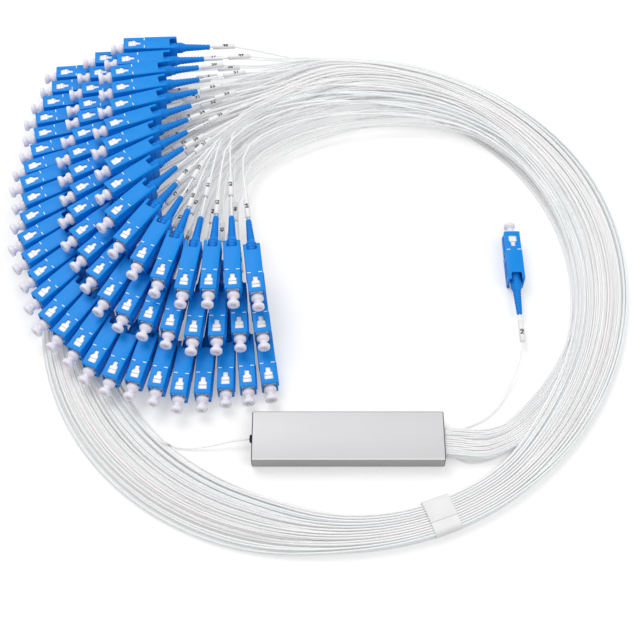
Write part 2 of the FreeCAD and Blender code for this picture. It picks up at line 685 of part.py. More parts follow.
def cord_tube(points, diameter, name):
    """Six-sided tube along straight runs joined by tangent arcs as large as the runs allow."""
    lengths = [(b - a).Length for a, b in zip(points, points[1:])]
    path, radii = [points[0]], []
    for k in range(1, len(points) - 1):
        into = (points[k] - points[k - 1]).normalize()
        out = (points[k + 1] - points[k]).normalize()
        turn = into.getAngle(out)
        reach = 0.45 * min(lengths[k - 1], lengths[k])
        radii.append(reach / math.tan(turn / 2))
        begin, end = points[k] - into * reach, points[k] + out * reach
        inward = (out - into).normalize()
        middle = points[k] + inward * (radii[-1] / math.cos(turn / 2) - radii[-1])
        arc = Part.Arc(begin, middle, end)
        chords = max(1, round(math.degrees(turn) / ARC_STEP_DEGREES))
        path += [FreeCAD.Vector(p) for p in arc.toShape().discretize(Number=chords + 1)]
    path.append(points[-1])
    tube = mitred_tube(path, PLAIN_SIDES, diameter / 2)
    length = sum((b - a).Length for a, b in zip(path, path[1:]))
    expected = 1.5 * math.sqrt(3) * (diameter / 2) ** 2 * length
    print(f"{name}: length {length:.1f}, tightest radius {min(radii):.1f}, "
          f"volume {tube.Volume:.1f} of {expected:.1f}")
    return tube


def coil_solid():
    """Closed ring of the coil's outer shape, with a shallow step under the strap."""
    sides = int(size("coil_sides"))
    height, edge = size("coil_height"), size("coil_edge")
    inner, outer = size("coil_inner"), size("coil_outer")
    spread = 1 / math.cos(math.pi / sides)
    section = [(inner, 0), (inner, height - edge), (inner + edge, height), (outer - edge, height),
               (outer, height - edge), (outer, 0)]
    faces = []
    for k in range(sides):
        near, far = 360.0 * k / sides, 360.0 * (k + 1) / sides
        for (r1, z1), (r2, z2) in zip(section, section[1:] + section[:1]):
            corners = [coil_point(near, r1 * spread, z1), coil_point(near, r2 * spread, z2),
                       coil_point(far, r2 * spread, z2), coil_point(far, r1 * spread, z1)]
            faces.append(Part.Face(Part.makePolygon(corners + corners[:1])))
    ring = Part.Solid(Part.Shell(faces))
    ring = ring if ring.Volume > 0 else ring.reversed()
    step = Part.makeBox(size("coil_outer - coil_inner") + 10, size("strap_width + 1"),
                        size("strap_thick + 0.1") + 1,
                        FreeCAD.Vector(size("coil_inner") - 5, -size("strap_width + 1") / 2, -1))
    step.Placement = FreeCAD.Placement(
        FreeCAD.Vector(size("coil_x"), size("coil_y"), 0),
        FreeCAD.Rotation(FreeCAD.Vector(0, 0, 1), size("strap_angle"))) * step.Placement
    return ring.cut(step)


def build_strap():
    """Flat strap wrapped once round the coil's section."""
    strap = new_body("coil_strap")
    section = new_sketch(strap, "XZ_Plane")
    inner, outer = "coil_inner - strap_gap", "coil_outer + strap_gap + 0.3"
    top = "coil_height + 0.1"
    draw_outline(section, [
        (inner + " - strap_thick + 1", "0"), (outer + " + strap_thick - 1", "0"),
        (outer + " + strap_thick", "1"), (outer + " + strap_thick", top + " - 0.5"),
        (outer + " + strap_thick - 1", top + " + strap_thick"),
        (inner + " - strap_thick + 1", top + " + strap_thick"),
        (inner + " - strap_thick", top + " - 0.5"), (inner + " - strap_thick", "1")])
    draw_outline(section, [
        (inner + " + 0.8", "strap_thick"), (outer + " - 0.8", "strap_thick"),
        (outer, "strap_thick + 0.7"), (outer, top + " - 0.7"), (outer + " - 0.8", top),
        (inner + " + 0.8", top), (inner, top + " - 0.7"), (inner, "strap_thick + 0.7")])
    pad(strap, section, "strap_width", middle=True)
    strap.setExpression("Placement.Base.x", bound("coil_x"))
    strap.setExpression("Placement.Base.y", bound("coil_y"))
    strap.Placement = FreeCAD.Placement(
        FreeCAD.Vector(size("coil_x"), size("coil_y"), 0),
        FreeCAD.Rotation(FreeCAD.Vector(0, 0, 1), size("strap_angle")))
    NODES["coil_strap"] = strap


def build_input_tail(coil):
    """Input tail: from the gland to the coil, and from the coil to the input plug."""
    diameter = size("tube_diameter")
    floor = diameter / 2
    start = -size("housing_length / 2 + gland_reach - 0.2")
    first = [FreeCAD.Vector(start, 0, size("housing_height / 2")),
             FreeCAD.Vector(start - 8, -0.6, 3.6), FreeCAD.Vector(start - 18, -2.6, 1.6),
             FreeCAD.Vector(start - 30, -3.6, floor), FreeCAD.Vector(start - 41, 0.5, floor),
             FreeCAD.Vector(start - 49, 9.5, floor), FreeCAD.Vector(start - 55.5, 21, floor)]
    place = input_placement()
    rear = -size("boot_end + input_sleeve_gap + sleeve_length")

    def beside_plug(x, y, z):
        return place.multVec(FreeCAD.Vector(rear + x, y, z))

    second = [beside_plug(0, 0, 0), beside_plug(-8, 0, -0.6), beside_plug(-16.5, 1.5, -2.4),
              FreeCAD.Vector(72, 22.5, 0.9), FreeCAD.Vector(64, 12.5, floor),
              FreeCAD.Vector(54, 7.2, floor), FreeCAD.Vector(48.4, 3.0, floor),
              FreeCAD.Vector(48.2, -2.8, floor), FreeCAD.Vector(52.4, -6.8, floor),
              FreeCAD.Vector(61, -6.6, floor), FreeCAD.Vector(74, -1.0, floor),
              FreeCAD.Vector(88, 10.0, floor)]
    tubes = [cord_tube(first, diameter, "input tail at the gland"),
             cord_tube(second, diameter, "input tail at the plug")]
    straight = faceted_turn(PLAIN_SIDES, [(rear, diameter / 2), (-size("stop_end"), diameter / 2)])
    pieces = [max(tube.cut(coil).Solids, key=lambda solid: solid.Volume) for tube in tubes]
    keep("input_tail", Part.makeCompound(pieces + [straight.transformed(place.toMatrix())]))


def build_lead(coil):
    """Flat bundle of all output tails between the housing and the coil."""
    middle = size("housing_height / 2")
    start = size("housing_length / 2") - 0.6
    points = [FreeCAD.Vector(start, 0, middle), FreeCAD.Vector(start + 14, 0, middle),
              FreeCAD.Vector(start + 30, 4.5, middle - 0.3), FreeCAD.Vector(start + 46, 15.0, 3.5)]
    wide, high = size("exit_width / 2") - 0.3, size("exit_height / 2") - 0.2
    bundle = mitred_tube(points, 4, high * math.sqrt(2), 1.0, wide * math.sqrt(2))
    return max(bundle.cut(coil).Solids, key=lambda solid: solid.Volume)


def build_output_tails(plugs):
    """Thin tails from the coil to every output plug, with the number sleeves on them."""
    diameter = size("tube_diameter")
    tails, sleeves = [], []
    for plug in plugs:
        front = -size("boot_end") - plug.gap
        rear = front - size("sleeve_length")
        start = plug.at(rear)
        forward = (plug.at(0) - plug.at(-1)).normalize()
        leave = size("leave_first_angle") + plug.share * size("leave_last_angle - leave_first_angle")
        slot = size("coil_outer") - 1.5 - plug.share * size("coil_outer - coil_inner - 3")
        row = size("coil_height") + diameter * (0.7 + 1.15 * plug.layer)
        end = coil_point(leave, slot, row)
        span = (end - start).Length
        turn = math.radians(leave) + 0.25 * span / (2 * size("leave_radius"))
        travel = FreeCAD.Vector(-math.sin(turn), math.cos(turn), 0)
        near = start - forward * 0.34 * span
        near.z = start.z + (row - start.z) * 0.3
        far = end + travel * 0.25 * span
        far.z = row + (start.z - row) * 0.12
        tails.append(mitred_tube([end, far, near, start], 3, diameter / 2))
        tails.append(mitred_tube([plug.at(-size("boot_end")), plug.at(front)], 3, diameter / 2))
        sleeves.append(faceted_turn(4, [(rear, size("sleeve_radius")),
                                        (front, size("sleeve_radius"))]).transformed(
            plug.place.toMatrix()))
    return tails, sleeves


def build_outputs():
    """Everything on the output side, grouped as the file limit needs."""
    patterns = build_patterns()
    plugs = fan_of_plugs()

    def group(name, chosen):
        return Part.makeCompound([patterns[name].transformed(plug.place.toMatrix())
                                  for plug in chosen])

    jointed = [plug for plug in plugs if plug.layer == 0 and plug.index in JOINTED_OUTPUTS]
    fixed = [plug for plug in plugs if plug not in jointed]
    for number, plug in enumerate(jointed, start=1):
        keep(f"output_grip_{number}", group("grip", [plug]))
        keep(f"output_dust_cap_{number}", group("nosed_cap", [plug]))
    keep("output_plug_frames", group("frame", jointed))
    keep("output_ferrules", group("ferrule", jointed))
    keep("output_plugs", group("plug", fixed))
    keep("output_dust_caps", group("cap", fixed))
    keep("output_boots", Part.makeCompound([group("boot", fixed), group("long_boot", jointed)]))
    tails, sleeves = build_output_tails(plugs)
    keep("output_tails", Part.makeCompound(tails))
    keep("output_label_sleeves", Part.makeCompound(sleeves))
    return plugs


def write_parts():
    """Check every object and write each node's file."""
    DOC.recompute()
    for item in DOC.Objects:
        if "Invalid" in item.State or "Error" in item.State:
            raise RuntimeError(f"{item.Label} failed: {item.State}")
    os.makedirs("parts", exist_ok=True)
    for label, item in NODES.items():
        shape = item.Shape
        if shape.isNull() or not shape.isValid():
            raise RuntimeError(f"{label} has no valid shape")
        shape.exportStep(os.path.join("parts", label + ".step"))
    print(len(NODES), "nodes written")


build_housing()
build_module()
build_input_plug()
COIL = coil_solid()
keep("fibre_coil", COIL)
build_strap()
build_input_tail(COIL)
keep("output_lead", build_lead(COIL))
PLUGS = build_outputs()
write_parts()
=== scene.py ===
import logging
import math
import random
from collections.abc import Callable, Iterable, Sequence
from dataclasses import dataclass, field
from enum import Enum

import bmesh
import bpy
from mathutils import Matrix, Vector


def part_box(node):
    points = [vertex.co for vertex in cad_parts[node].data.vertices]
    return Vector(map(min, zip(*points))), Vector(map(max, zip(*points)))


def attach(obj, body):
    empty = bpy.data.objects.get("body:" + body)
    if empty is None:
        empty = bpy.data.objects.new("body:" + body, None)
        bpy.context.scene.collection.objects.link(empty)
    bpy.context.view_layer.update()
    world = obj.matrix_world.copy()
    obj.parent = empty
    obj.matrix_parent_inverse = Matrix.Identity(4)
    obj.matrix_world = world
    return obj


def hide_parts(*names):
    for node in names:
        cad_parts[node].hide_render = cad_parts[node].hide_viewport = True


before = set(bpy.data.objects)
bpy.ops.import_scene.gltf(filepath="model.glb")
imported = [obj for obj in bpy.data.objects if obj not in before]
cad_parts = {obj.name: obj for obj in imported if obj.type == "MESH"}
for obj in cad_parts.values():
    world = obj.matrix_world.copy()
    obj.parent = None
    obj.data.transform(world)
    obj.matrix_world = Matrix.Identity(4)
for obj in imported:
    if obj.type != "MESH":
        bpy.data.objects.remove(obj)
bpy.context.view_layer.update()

log = logging.getLogger("fibre_splitter")
MM = 0.001
ROOT = "root"
Point = tuple[float, float, float]
Colour = tuple[float, float, float]
Piece = bpy.types.Object


class Tint(Enum):
    """The faint colours that the white tubing of the tails comes in."""

    WHITE = "white"
    ROSE = "rose"
    SKY = "sky"
    MINT = "mint"
    PEARL = "pearl"


def smooth(value: float, low: float, high: float) -> float:
    """Ease from 0 at low to 1 at high.

    Args:
        value: where to read the ease.
        low: where it starts.
        high: where it ends.

    Returns:
        The eased share, from 0 to 1.
    """
    share = min(1.0, max(0.0, (value - low) / (high - low)))
    return share * share * (3 - 2 * share)


def mix(first: float, second: float, share: float) -> float:
    """Plain blend of two numbers."""
    return first + (second - first) * share


def metres(pairs: Iterable[tuple[float, float]]) -> list[tuple[float, float]]:
    """Pairs of millimetres as pairs of metres."""
    return [(a * MM, b * MM) for a, b in pairs]


# ---------------------------------------------------------------- shared shader groups


class ShaderKit:
    """Shader node groups that several finishes share, built once."""

    def __init__(self) -> None:
        """Build every group."""
        self.grain = self._grain_group()
        self.brush = self._brush_group()
        self.dust = self._dust_group()

    @staticmethod
    def _new_group(name: str, inputs: dict[str, float],
                   outputs: Sequence[str]) -> bpy.types.NodeTree:
        """Start a group with an Object coordinate and number sockets.

        Args:
            name: the group's name.
            inputs: each input's name and its default.
            outputs: the outputs' names.

        Returns:
            The group, with its input and output nodes named "in" and "out".
        """
        group = bpy.data.node_groups.new(name, "ShaderNodeTree")
        for label, default in inputs.items():
            socket = group.interface.new_socket(label, in_out="INPUT",
                                                socket_type="NodeSocketFloat")
            socket.default_value = default
        for label in outputs:
            group.interface.new_socket(label, in_out="OUTPUT", socket_type="NodeSocketFloat")
        group.nodes.new("NodeGroupInput").name = "in"
        group.nodes.new("NodeGroupOutput").name = "out"
        group.nodes.new("ShaderNodeTexCoord").name = "place"
        return group

    def _grain_group(self) -> bpy.types.NodeTree:
        """Fine moulded grain with a slow mottle, for plastics and rubber."""
        group = self._new_group("moulded_grain", {"Grain": 4000.0, "Mottle": 120.0},
                                ("Height", "Shade"))
        fine = group.nodes.new("ShaderNodeTexNoise")
        fine.inputs["Detail"].default_value = 3.0
        slow = group.nodes.new("ShaderNodeTexNoise")
        slow.inputs["Detail"].default_value = 2.0
        link = group.links.new
        source, end, place = (group.nodes[k] for k in ("in", "out", "place"))
        link(place.outputs["Object"], fine.inputs["Vector"])
        link(place.outputs["Object"], slow.inputs["Vector"])
        link(source.outputs["Grain"], fine.inputs["Scale"])
        link(source.outputs["Mottle"], slow.inputs["Scale"])
        link(fine.outputs["Fac"], end.inputs["Height"])
        link(slow.outputs["Fac"], end.inputs["Shade"])
        return group

    def _brush_group(self) -> bpy.types.NodeTree:
        """Long fine lines along X, as brushing leaves on sheet metal."""
        group = self._new_group("brushed_lines", {"Along": 30.0, "Across": 5200.0},
                                ("Height", "Shade"))
        link = group.links.new
        source, end, place = (group.nodes[k] for k in ("in", "out", "place"))
        stretch = group.nodes.new("ShaderNodeVectorMath")
        stretch.operation = "MULTIPLY"
        scale = group.nodes.new("ShaderNodeCombineXYZ")
        link(source.outputs["Along"], scale.inputs["X"])
        link(source.outputs["Across"], scale.inputs["Y"])
        link(source.outputs["Across"], scale.inputs["Z"])
        link(place.outputs["Object"], stretch.inputs[0])
        link(scale.outputs["Vector"], stretch.inputs[1])
        lines = group.nodes.new("ShaderNodeTexNoise")
        lines.inputs["Scale"].default_value = 1.0
        lines.inputs["Detail"].default_value = 4.0
        link(stretch.outputs["Vector"], lines.inputs["Vector"])
        cloud = group.nodes.new("ShaderNodeTexNoise")
        cloud.inputs["Scale"].default_value = 60.0
        link(place.outputs["Object"], cloud.inputs["Vector"])
        link(lines.outputs["Fac"], end.inputs["Height"])
        link(cloud.outputs["Fac"], end.inputs["Shade"])
        return group

    def _dust_group(self) -> bpy.types.NodeTree:
        """Sparse specks and scuffs, as a mask."""
        group = self._new_group("specks", {"Size": 900.0, "Amount": 0.68}, ("Mask",))
        link = group.links.new
        source, end, place = (group.nodes[k] for k in ("in", "out", "place"))
        specks = group.nodes.new("ShaderNodeTexNoise")
        specks.inputs["Detail"].default_value = 2.0
        link(place.outputs["Object"], specks.inputs["Vector"])
        link(source.outputs["Size"], specks.inputs["Scale"])
        ramp = group.nodes.new("ShaderNodeMapRange")
        ramp.inputs["To Min"].default_value = 0.0
        ramp.inputs["To Max"].default_value = 1.0
        top = group.nodes.new("ShaderNodeMath")
        top.operation = "ADD"
        top.inputs[1].default_value = 0.12
        link(source.outputs["Amount"], top.inputs[0])
        link(specks.outputs["Fac"], ramp.inputs["Value"])
        link(source.outputs["Amount"], ramp.inputs["From Min"])
        link(top.outputs["Value"], ramp.inputs["From Max"])
        link(ramp.outputs["Result"], end.inputs["Mask"])
        return group


# ---------------------------------------------------------------- finishes


@dataclass(frozen=True)
class Finish:
    """A surface of one colour with a grain, a slow mottle and a few specks.

    Attributes:
        name: material name.
        colour: base colour, linear.
        roughness: middle of the roughness.
        metallic: 0 for plastic, 1 for metal.
        grain: scale of the fine grain.
        depth: height of the grain in metres.
        mottle: how far the colour and roughness drift, as a share.
        speck: how strongly specks darken the colour.
        coat: weight of a clear coat.
        sheen: weight of a soft sheen.
        subsurface: weight of light that passes under the surface.
        reach: how far light passes under the surface, in metres.
        specular: strength of the mirror-like part of the light.
        inner_light: strength of a painted glow, light that the surface gives off to lighten its
            shade.
        brushed: True for lines along X in place of grain.
    """

    name: str
    colour: Colour
    roughness: float = 0.4
    metallic: float = 0.0
    grain: float = 4000.0
    depth: float = 0.00001
    mottle: float = 0.08
    speck: float = 0.0
    coat: float = 0.0
    sheen: float = 0.0
    subsurface: float = 0.0
    reach: float = 0.0012
    specular: float = 0.5
    inner_light: float = 0.0
    brushed: bool = False

    def make(self, kit: ShaderKit) -> bpy.types.Material:
        """Build the material.

        Args:
            kit: the shared shader groups.

        Returns:
            The new material.
        """
        material = bpy.data.materials.new(self.name)
        material.use_nodes = True
        tree = material.node_tree
        link = tree.links.new
        shader = tree.nodes["Principled BSDF"]
        constants = {
            "Metallic": self.metallic, "Coat Weight": self.coat, "Sheen Weight": self.sheen,
            "Subsurface Weight": self.subsurface, "Subsurface Scale": self.reach,
            "Subsurface Radius": (1.0, 1.0, 1.0), "Specular IOR Level": self.specular,
            # Emission is a painted glow: the surface gives off light though it is no lamp.
            "Emission Color": (1, 1, 1, 1), "Emission Strength": self.inner_light,
        }
        for label, value in constants.items():
            shader.inputs[label].default_value = value
        group = tree.nodes.new("ShaderNodeGroup")
        group.node_tree = kit.brush if self.brushed else kit.grain
        if not self.brushed:
            group.inputs["Grain"].default_value = self.grain
        colour = tree.nodes.new("ShaderNodeMix")
        colour.data_type = "RGBA"
        darker, lighter = 1 - self.mottle, 1 + self.mottle
        colour.inputs["A"].default_value = (*(c * darker for c in self.colour), 1)
        colour.inputs["B"].default_value = (*(min(1.0, c * lighter) for c in self.colour), 1)
        link(group.outputs["Shade"], colour.inputs["Factor"])
        specks = tree.nodes.new("ShaderNodeGroup")
        specks.node_tree = kit.dust
        soil = tree.nodes.new("ShaderNodeMix")
        soil.data_type = "RGBA"
        soil.inputs["B"].default_value = (*(c * (1 - self.speck) for c in self.colour), 1)
        link(specks.outputs["Mask"], soil.inputs["Factor"])
        link(colour.outputs["Result"], soil.inputs["A"])
        link(soil.outputs["Result"], shader.inputs["Base Color"])
        rough = tree.nodes.new("ShaderNodeMapRange")
        rough.inputs["To Min"].default_value = self.roughness * darker
        rough.inputs["To Max"].default_value = min(1.0, self.roughness * (1 + 2 * self.mottle))
        link(group.outputs["Height"], rough.inputs["Value"])
        link(rough.outputs["Result"], shader.inputs["Roughness"])
        bump = tree.nodes.new("ShaderNodeBump")
        bump.inputs["Distance"].default_value = self.depth
        bump.inputs["Strength"].default_value = 1.0
        link(group.outputs["Height"], bump.inputs["Height"])
        link(bump.outputs["Normal"], shader.inputs["Normal"])
        return material


TUBING_COLOURS = {
    Tint.WHITE: (0.95, 0.95, 0.955),
    Tint.ROSE: (0.95, 0.86, 0.88),
    Tint.SKY: (0.84, 0.90, 0.96),
    Tint.MINT: (0.88, 0.94, 0.90),
    Tint.PEARL: (0.82, 0.82, 0.84),
}


class Finishes:
    """Every material of the splitter, by the piece that wears it."""

    def __init__(self) -> None:
        """Build the shared groups and then the materials."""
        kit = ShaderKit()

        def made(name: str, colour: Colour, **look: float) -> bpy.types.Material:
            """Build one finish of that name."""
            return Finish(name, colour, **look).make(kit)

        self.case_metal = made("brushed_case", (0.64, 0.64, 0.65), roughness=0.45, metallic=0.2,
                               brushed=True, depth=0.000008, mottle=0.03, speck=0.08)
        # Darker copy of the brushed metal: painted shade for the case's sides and underside.
        self.case_painted_shade = made("case_painted_shade", (0.37, 0.37, 0.375), roughness=0.42, metallic=0.3,
                              brushed=True, depth=0.000012, mottle=0.06, speck=0.1)
        # Pale copy of the metal for the front top bevel: a painted highlight where the lamps would
        # glint.
        self.case_painted_highlight = made("painted_bevel_highlight", (0.92, 0.92, 0.92), roughness=0.25,
                              metallic=0.1, mottle=0.03)
        self.black_plastic = made("black_plastic", (0.02, 0.02, 0.021), roughness=0.5,
                                  depth=0.00002)
        self.black_rubber = made("black_rubber", (0.012, 0.012, 0.012), roughness=0.7,
                                 depth=0.00003)
        self.resin = made("sealing_resin", (0.62, 0.62, 0.6), roughness=0.22, coat=0.3,
                          mottle=0.15)
        self.blue_grip = made("blue_grip", (0.004, 0.262, 0.79), roughness=0.42, mottle=0.04,
                              depth=0.000006, speck=0.1, specular=0.2)
        self.blue_boot = made("blue_boot", (0.004, 0.23, 0.74), roughness=0.5, mottle=0.06,
                              depth=0.00001, specular=0.2)
        self.white_frame = made("white_frame", (0.9, 0.9, 0.9), roughness=0.3, mottle=0.02,
                                coat=0.1)
        self.milky_cap = made("milky_cap", (0.84, 0.81, 0.89), roughness=0.35, mottle=0.04,
                              subsurface=0.7, specular=0.4)
        self.zirconia = made("zirconia", (0.88, 0.87, 0.84), roughness=0.08, mottle=0.02, coat=0.4)
        self.steel = made("plain_steel", (0.45, 0.45, 0.46), roughness=0.28, metallic=0.9,
                          mottle=0.1)
        self.glass = made("silica", (0.8, 0.85, 0.86), roughness=0.08, mottle=0.03)
        self.sleeve = made("white_sleeve", (0.88, 0.88, 0.88), roughness=0.35, mottle=0.03)
        self.ink = made("black_ink", (0.02, 0.02, 0.02), roughness=0.6)
        self.strap = made("strap_weave", (0.87, 0.87, 0.88), roughness=0.8, grain=2600.0,
                          depth=0.00012, mottle=0.08, sheen=0.3)
        self.foam = made("foam_tape", (0.8, 0.8, 0.78), roughness=0.8, depth=0.00008)
        # White strips at the grip's shoulder: a painted highlight.
        self.painted_glint = made("painted_shoulder_highlight", (0.88, 0.9, 0.93), roughness=0.5)
        # The tubing gets a faint painted glow that lifts the shade in the gaps between tubes.
        self.tubing = {tint: made(f"tubing_{tint.value}", colour, roughness=0.4, grain=1500.0,
                                  mottle=0.02, subsurface=1.0, specular=0.35, depth=0.000004,
                                  inner_light=0.05)
                       for tint, colour in TUBING_COLOURS.items()}


# ---------------------------------------------------------------- modelling bench


class Bench:
    """The operators that every piece is modelled with. Sizes are in metres."""

    @staticmethod
    def clear() -> None:
        """Leave edit mode and deselect everything."""
        if bpy.context.object and bpy.context.object.mode != "OBJECT":
            bpy.ops.object.mode_set(mode="OBJECT")
        bpy.ops.object.select_all(action="DESELECT")

    @staticmethod
    def pick(piece: Piece) -> None:
        """Make one piece the selected and active object."""
        Bench.clear()
        piece.select_set(True)
        bpy.context.view_layer.objects.active = piece

    @staticmethod
    def settle(piece: Piece) -> None:
        """Move the piece's place, turn and scale into its mesh."""
        Bench.pick(piece)
        bpy.ops.object.transform_apply(location=True, rotation=True, scale=True)

    @staticmethod
    def edit(piece: Piece, select: str = "SELECT") -> None:
        """Enter edit mode with everything selected or nothing."""
        Bench.pick(piece)
        bpy.ops.object.mode_set(mode="EDIT")
        bpy.ops.mesh.select_mode(type="VERT")
        bpy.ops.mesh.select_all(action=select)

    @staticmethod
    def choose(piece: Piece, kind: str, test: Callable[[object], bool]) -> None:
        """Enter edit mode with only some faces or edges selected.

        Args:
            piece: the piece.
            kind: "faces" or "edges".
            test: says which of them to select.
        """
        Bench.edit(piece, "DESELECT")
        bpy.ops.mesh.select_mode(type="FACE" if kind == "faces" else "EDGE")
        mesh = bmesh.from_edit_mesh(piece.data)
        for item in [item for item in getattr(mesh, kind) if test(item)]:
            item.select_set(True)
        bmesh.update_edit_mesh(piece.data)

    @staticmethod
    def runs(line: object, axis: int) -> bool:
        """True where an edge runs along an axis."""
        along = [abs(c) for c in line.verts[0].co - line.verts[1].co]
        return along[axis] > 0.99 * sum(along)

    @staticmethod
    def block(name: str, low: Sequence[float], high: Sequence[float], edge: float = 0.0,
              steps: int = 2, lengthwise: bool = False) -> Piece:
        """Rectangular block with rounded edges.

        Args:
            name: the new object's name.
            low: lowest corner.
            high: highest corner.
            edge: radius of the edges, or 0.
            steps: segments of each rounded edge.
            lengthwise: True to round only the edges along X.

        Returns:
            The block.
        """
        middle = [(a + b) / 2 for a, b in zip(low, high)]
        Bench.clear()
        bpy.ops.mesh.primitive_cube_add(size=1, location=middle)
        piece = bpy.context.object
        piece.name = name
        piece.scale = [b - a for a, b in zip(low, high)]
        Bench.settle(piece)
        if edge > 0:
            Bench.choose(piece, "edges", lambda line: not lengthwise or Bench.runs(line, 0))
            bpy.ops.mesh.bevel(offset=edge, segments=steps, affect="EDGES")
            bpy.ops.object.mode_set(mode="OBJECT")
        return piece

    @staticmethod
    def turned(name: str, stations: Sequence[tuple[float, float]], sides: int) -> Piece:
        """Closed solid turned about X, extruded station by station from a disc.

        Args:
            name: the new object's name.
            stations: pairs of X and radius, in order.
            sides: how many sides the section has.

        Returns:
            The turned piece.
        """
        (start, first), *rest = stations
        Bench.clear()
        bpy.ops.mesh.primitive_circle_add(vertices=sides, radius=first, fill_type="NGON",
                                          location=(start, 0, 0), rotation=(0, math.pi / 2, 0))
        piece = bpy.context.object
        piece.name = name
        Bench.settle(piece)
        Bench.edit(piece)
        here, radius = start, first
        for x, wide in rest:
            bpy.ops.mesh.extrude_region_move(TRANSFORM_OT_translate={"value": (x - here, 0, 0)})
            grow = wide / radius
            bpy.ops.transform.resize(value=(1, grow, grow), center_override=(x, 0, 0))
            here, radius = x, wide
        Bench.tidy(piece)
        return piece

    @staticmethod
    def prism(name: str, outline: Sequence[tuple[float, float]], low: float,
              high: float) -> Piece:
        """Flat outline in XY raised from one height to another.

        Args:
            name: the new object's name.
            outline: corners in order.
            low: height of the underside.
            high: height of the top.

        Returns:
            The prism.
        """
        Bench.clear()
        bpy.ops.mesh.primitive_circle_add(vertices=len(outline), radius=1, fill_type="NGON")
        piece = bpy.context.object
        piece.name = name
        for corner, (x, y) in zip(piece.data.vertices, outline):
            corner.co = (x, y, low)
        Bench.edit(piece)
        bpy.ops.mesh.extrude_region_move(TRANSFORM_OT_translate={"value": (0, 0, high - low)})
        Bench.tidy(piece)
        return piece

    @staticmethod
    def tidy(piece: Piece) -> None:
        """Merge corners within two thousandths of a millimetre and turn every face outwards."""
        Bench.edit(piece)
        bpy.ops.mesh.remove_doubles(threshold=0.000002)
        bpy.ops.mesh.normals_make_consistent(inside=False)
        bpy.ops.object.mode_set(mode="OBJECT")

    @staticmethod
    def apply(piece: Piece, kind: str, **settings: object) -> None:
        """Add a modifier, set it and apply it.

        Args:
            piece: the piece to change.
            kind: the modifier's type.
            **settings: its values.
        """
        Bench.pick(piece)
        modifier = piece.modifiers.new(kind.lower(), kind)
        for key, value in settings.items():
            setattr(modifier, key, value)
        bpy.ops.object.modifier_apply(modifier=modifier.name)

    @staticmethod
    def carve(piece: Piece, *tools: Piece, how: str = "DIFFERENCE") -> None:
        """Cut or join closed tools with a piece, and remove the tools."""
        for tool in tools:
            Bench.apply(piece, "BOOLEAN", operation=how, solver="EXACT", object=tool)
            bpy.data.objects.remove(tool)

    @staticmethod
    def soften(piece: Piece, angle: float = 35.0) -> None:
        """Shade smooth, apart from edges sharper than the angle."""
        Bench.pick(piece)
        bpy.ops.object.shade_smooth_by_angle(angle=math.radians(angle))

    @staticmethod
    def dress(piece: Piece, material: bpy.types.Material) -> Piece:
        """Give a piece one material all over."""
        piece.data.materials.clear()
        piece.data.materials.append(material)
        return piece

    @staticmethod
    def copy(pattern: Piece, name: str, place: Matrix) -> Piece:
        """Copy of a pattern with its own mesh, moved in its mesh.

        Args:
            pattern: the piece to copy.
            name: the copy's name.
            place: where it goes.

        Returns:
            The copy.
        """
        piece = pattern.copy()
        piece.data = pattern.data.copy()
        piece.name = name
        piece.data.name = name
        bpy.context.scene.collection.objects.link(piece)
        piece.data.transform(place)
        return piece

    @staticmethod
    def merge(name: str, pieces: Sequence[Piece]) -> Piece:
        """Join several pieces into the first.

        Args:
            name: name of the joined piece.
            pieces: what is joined.

        Returns:
            The joined piece.
        """
        Bench.clear()
        for piece in pieces:
            piece.select_set(True)
        bpy.context.view_layer.objects.active = pieces[0]
        bpy.ops.object.join()
        pieces[0].name = name
        return pieces[0]

    @staticmethod
    def discard(pieces: Iterable[Piece]) -> None:
        """Remove patterns that have been copied."""
        for piece in pieces:
            bpy.data.objects.remove(piece)


def finished(piece: Piece, body: str, slot: str, *nodes: str) -> Piece:
    """Let a piece ride on its body and take over its solids.

    Args:
        piece: the piece.
        body: the body that it rides on.
        slot: not used.
        *nodes: the solids that it stands for.

    Returns:
        The piece.
    """
    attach(piece, body)
    if nodes:
        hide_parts(*nodes)
    return piece


# ---------------------------------------------------------------- one plug


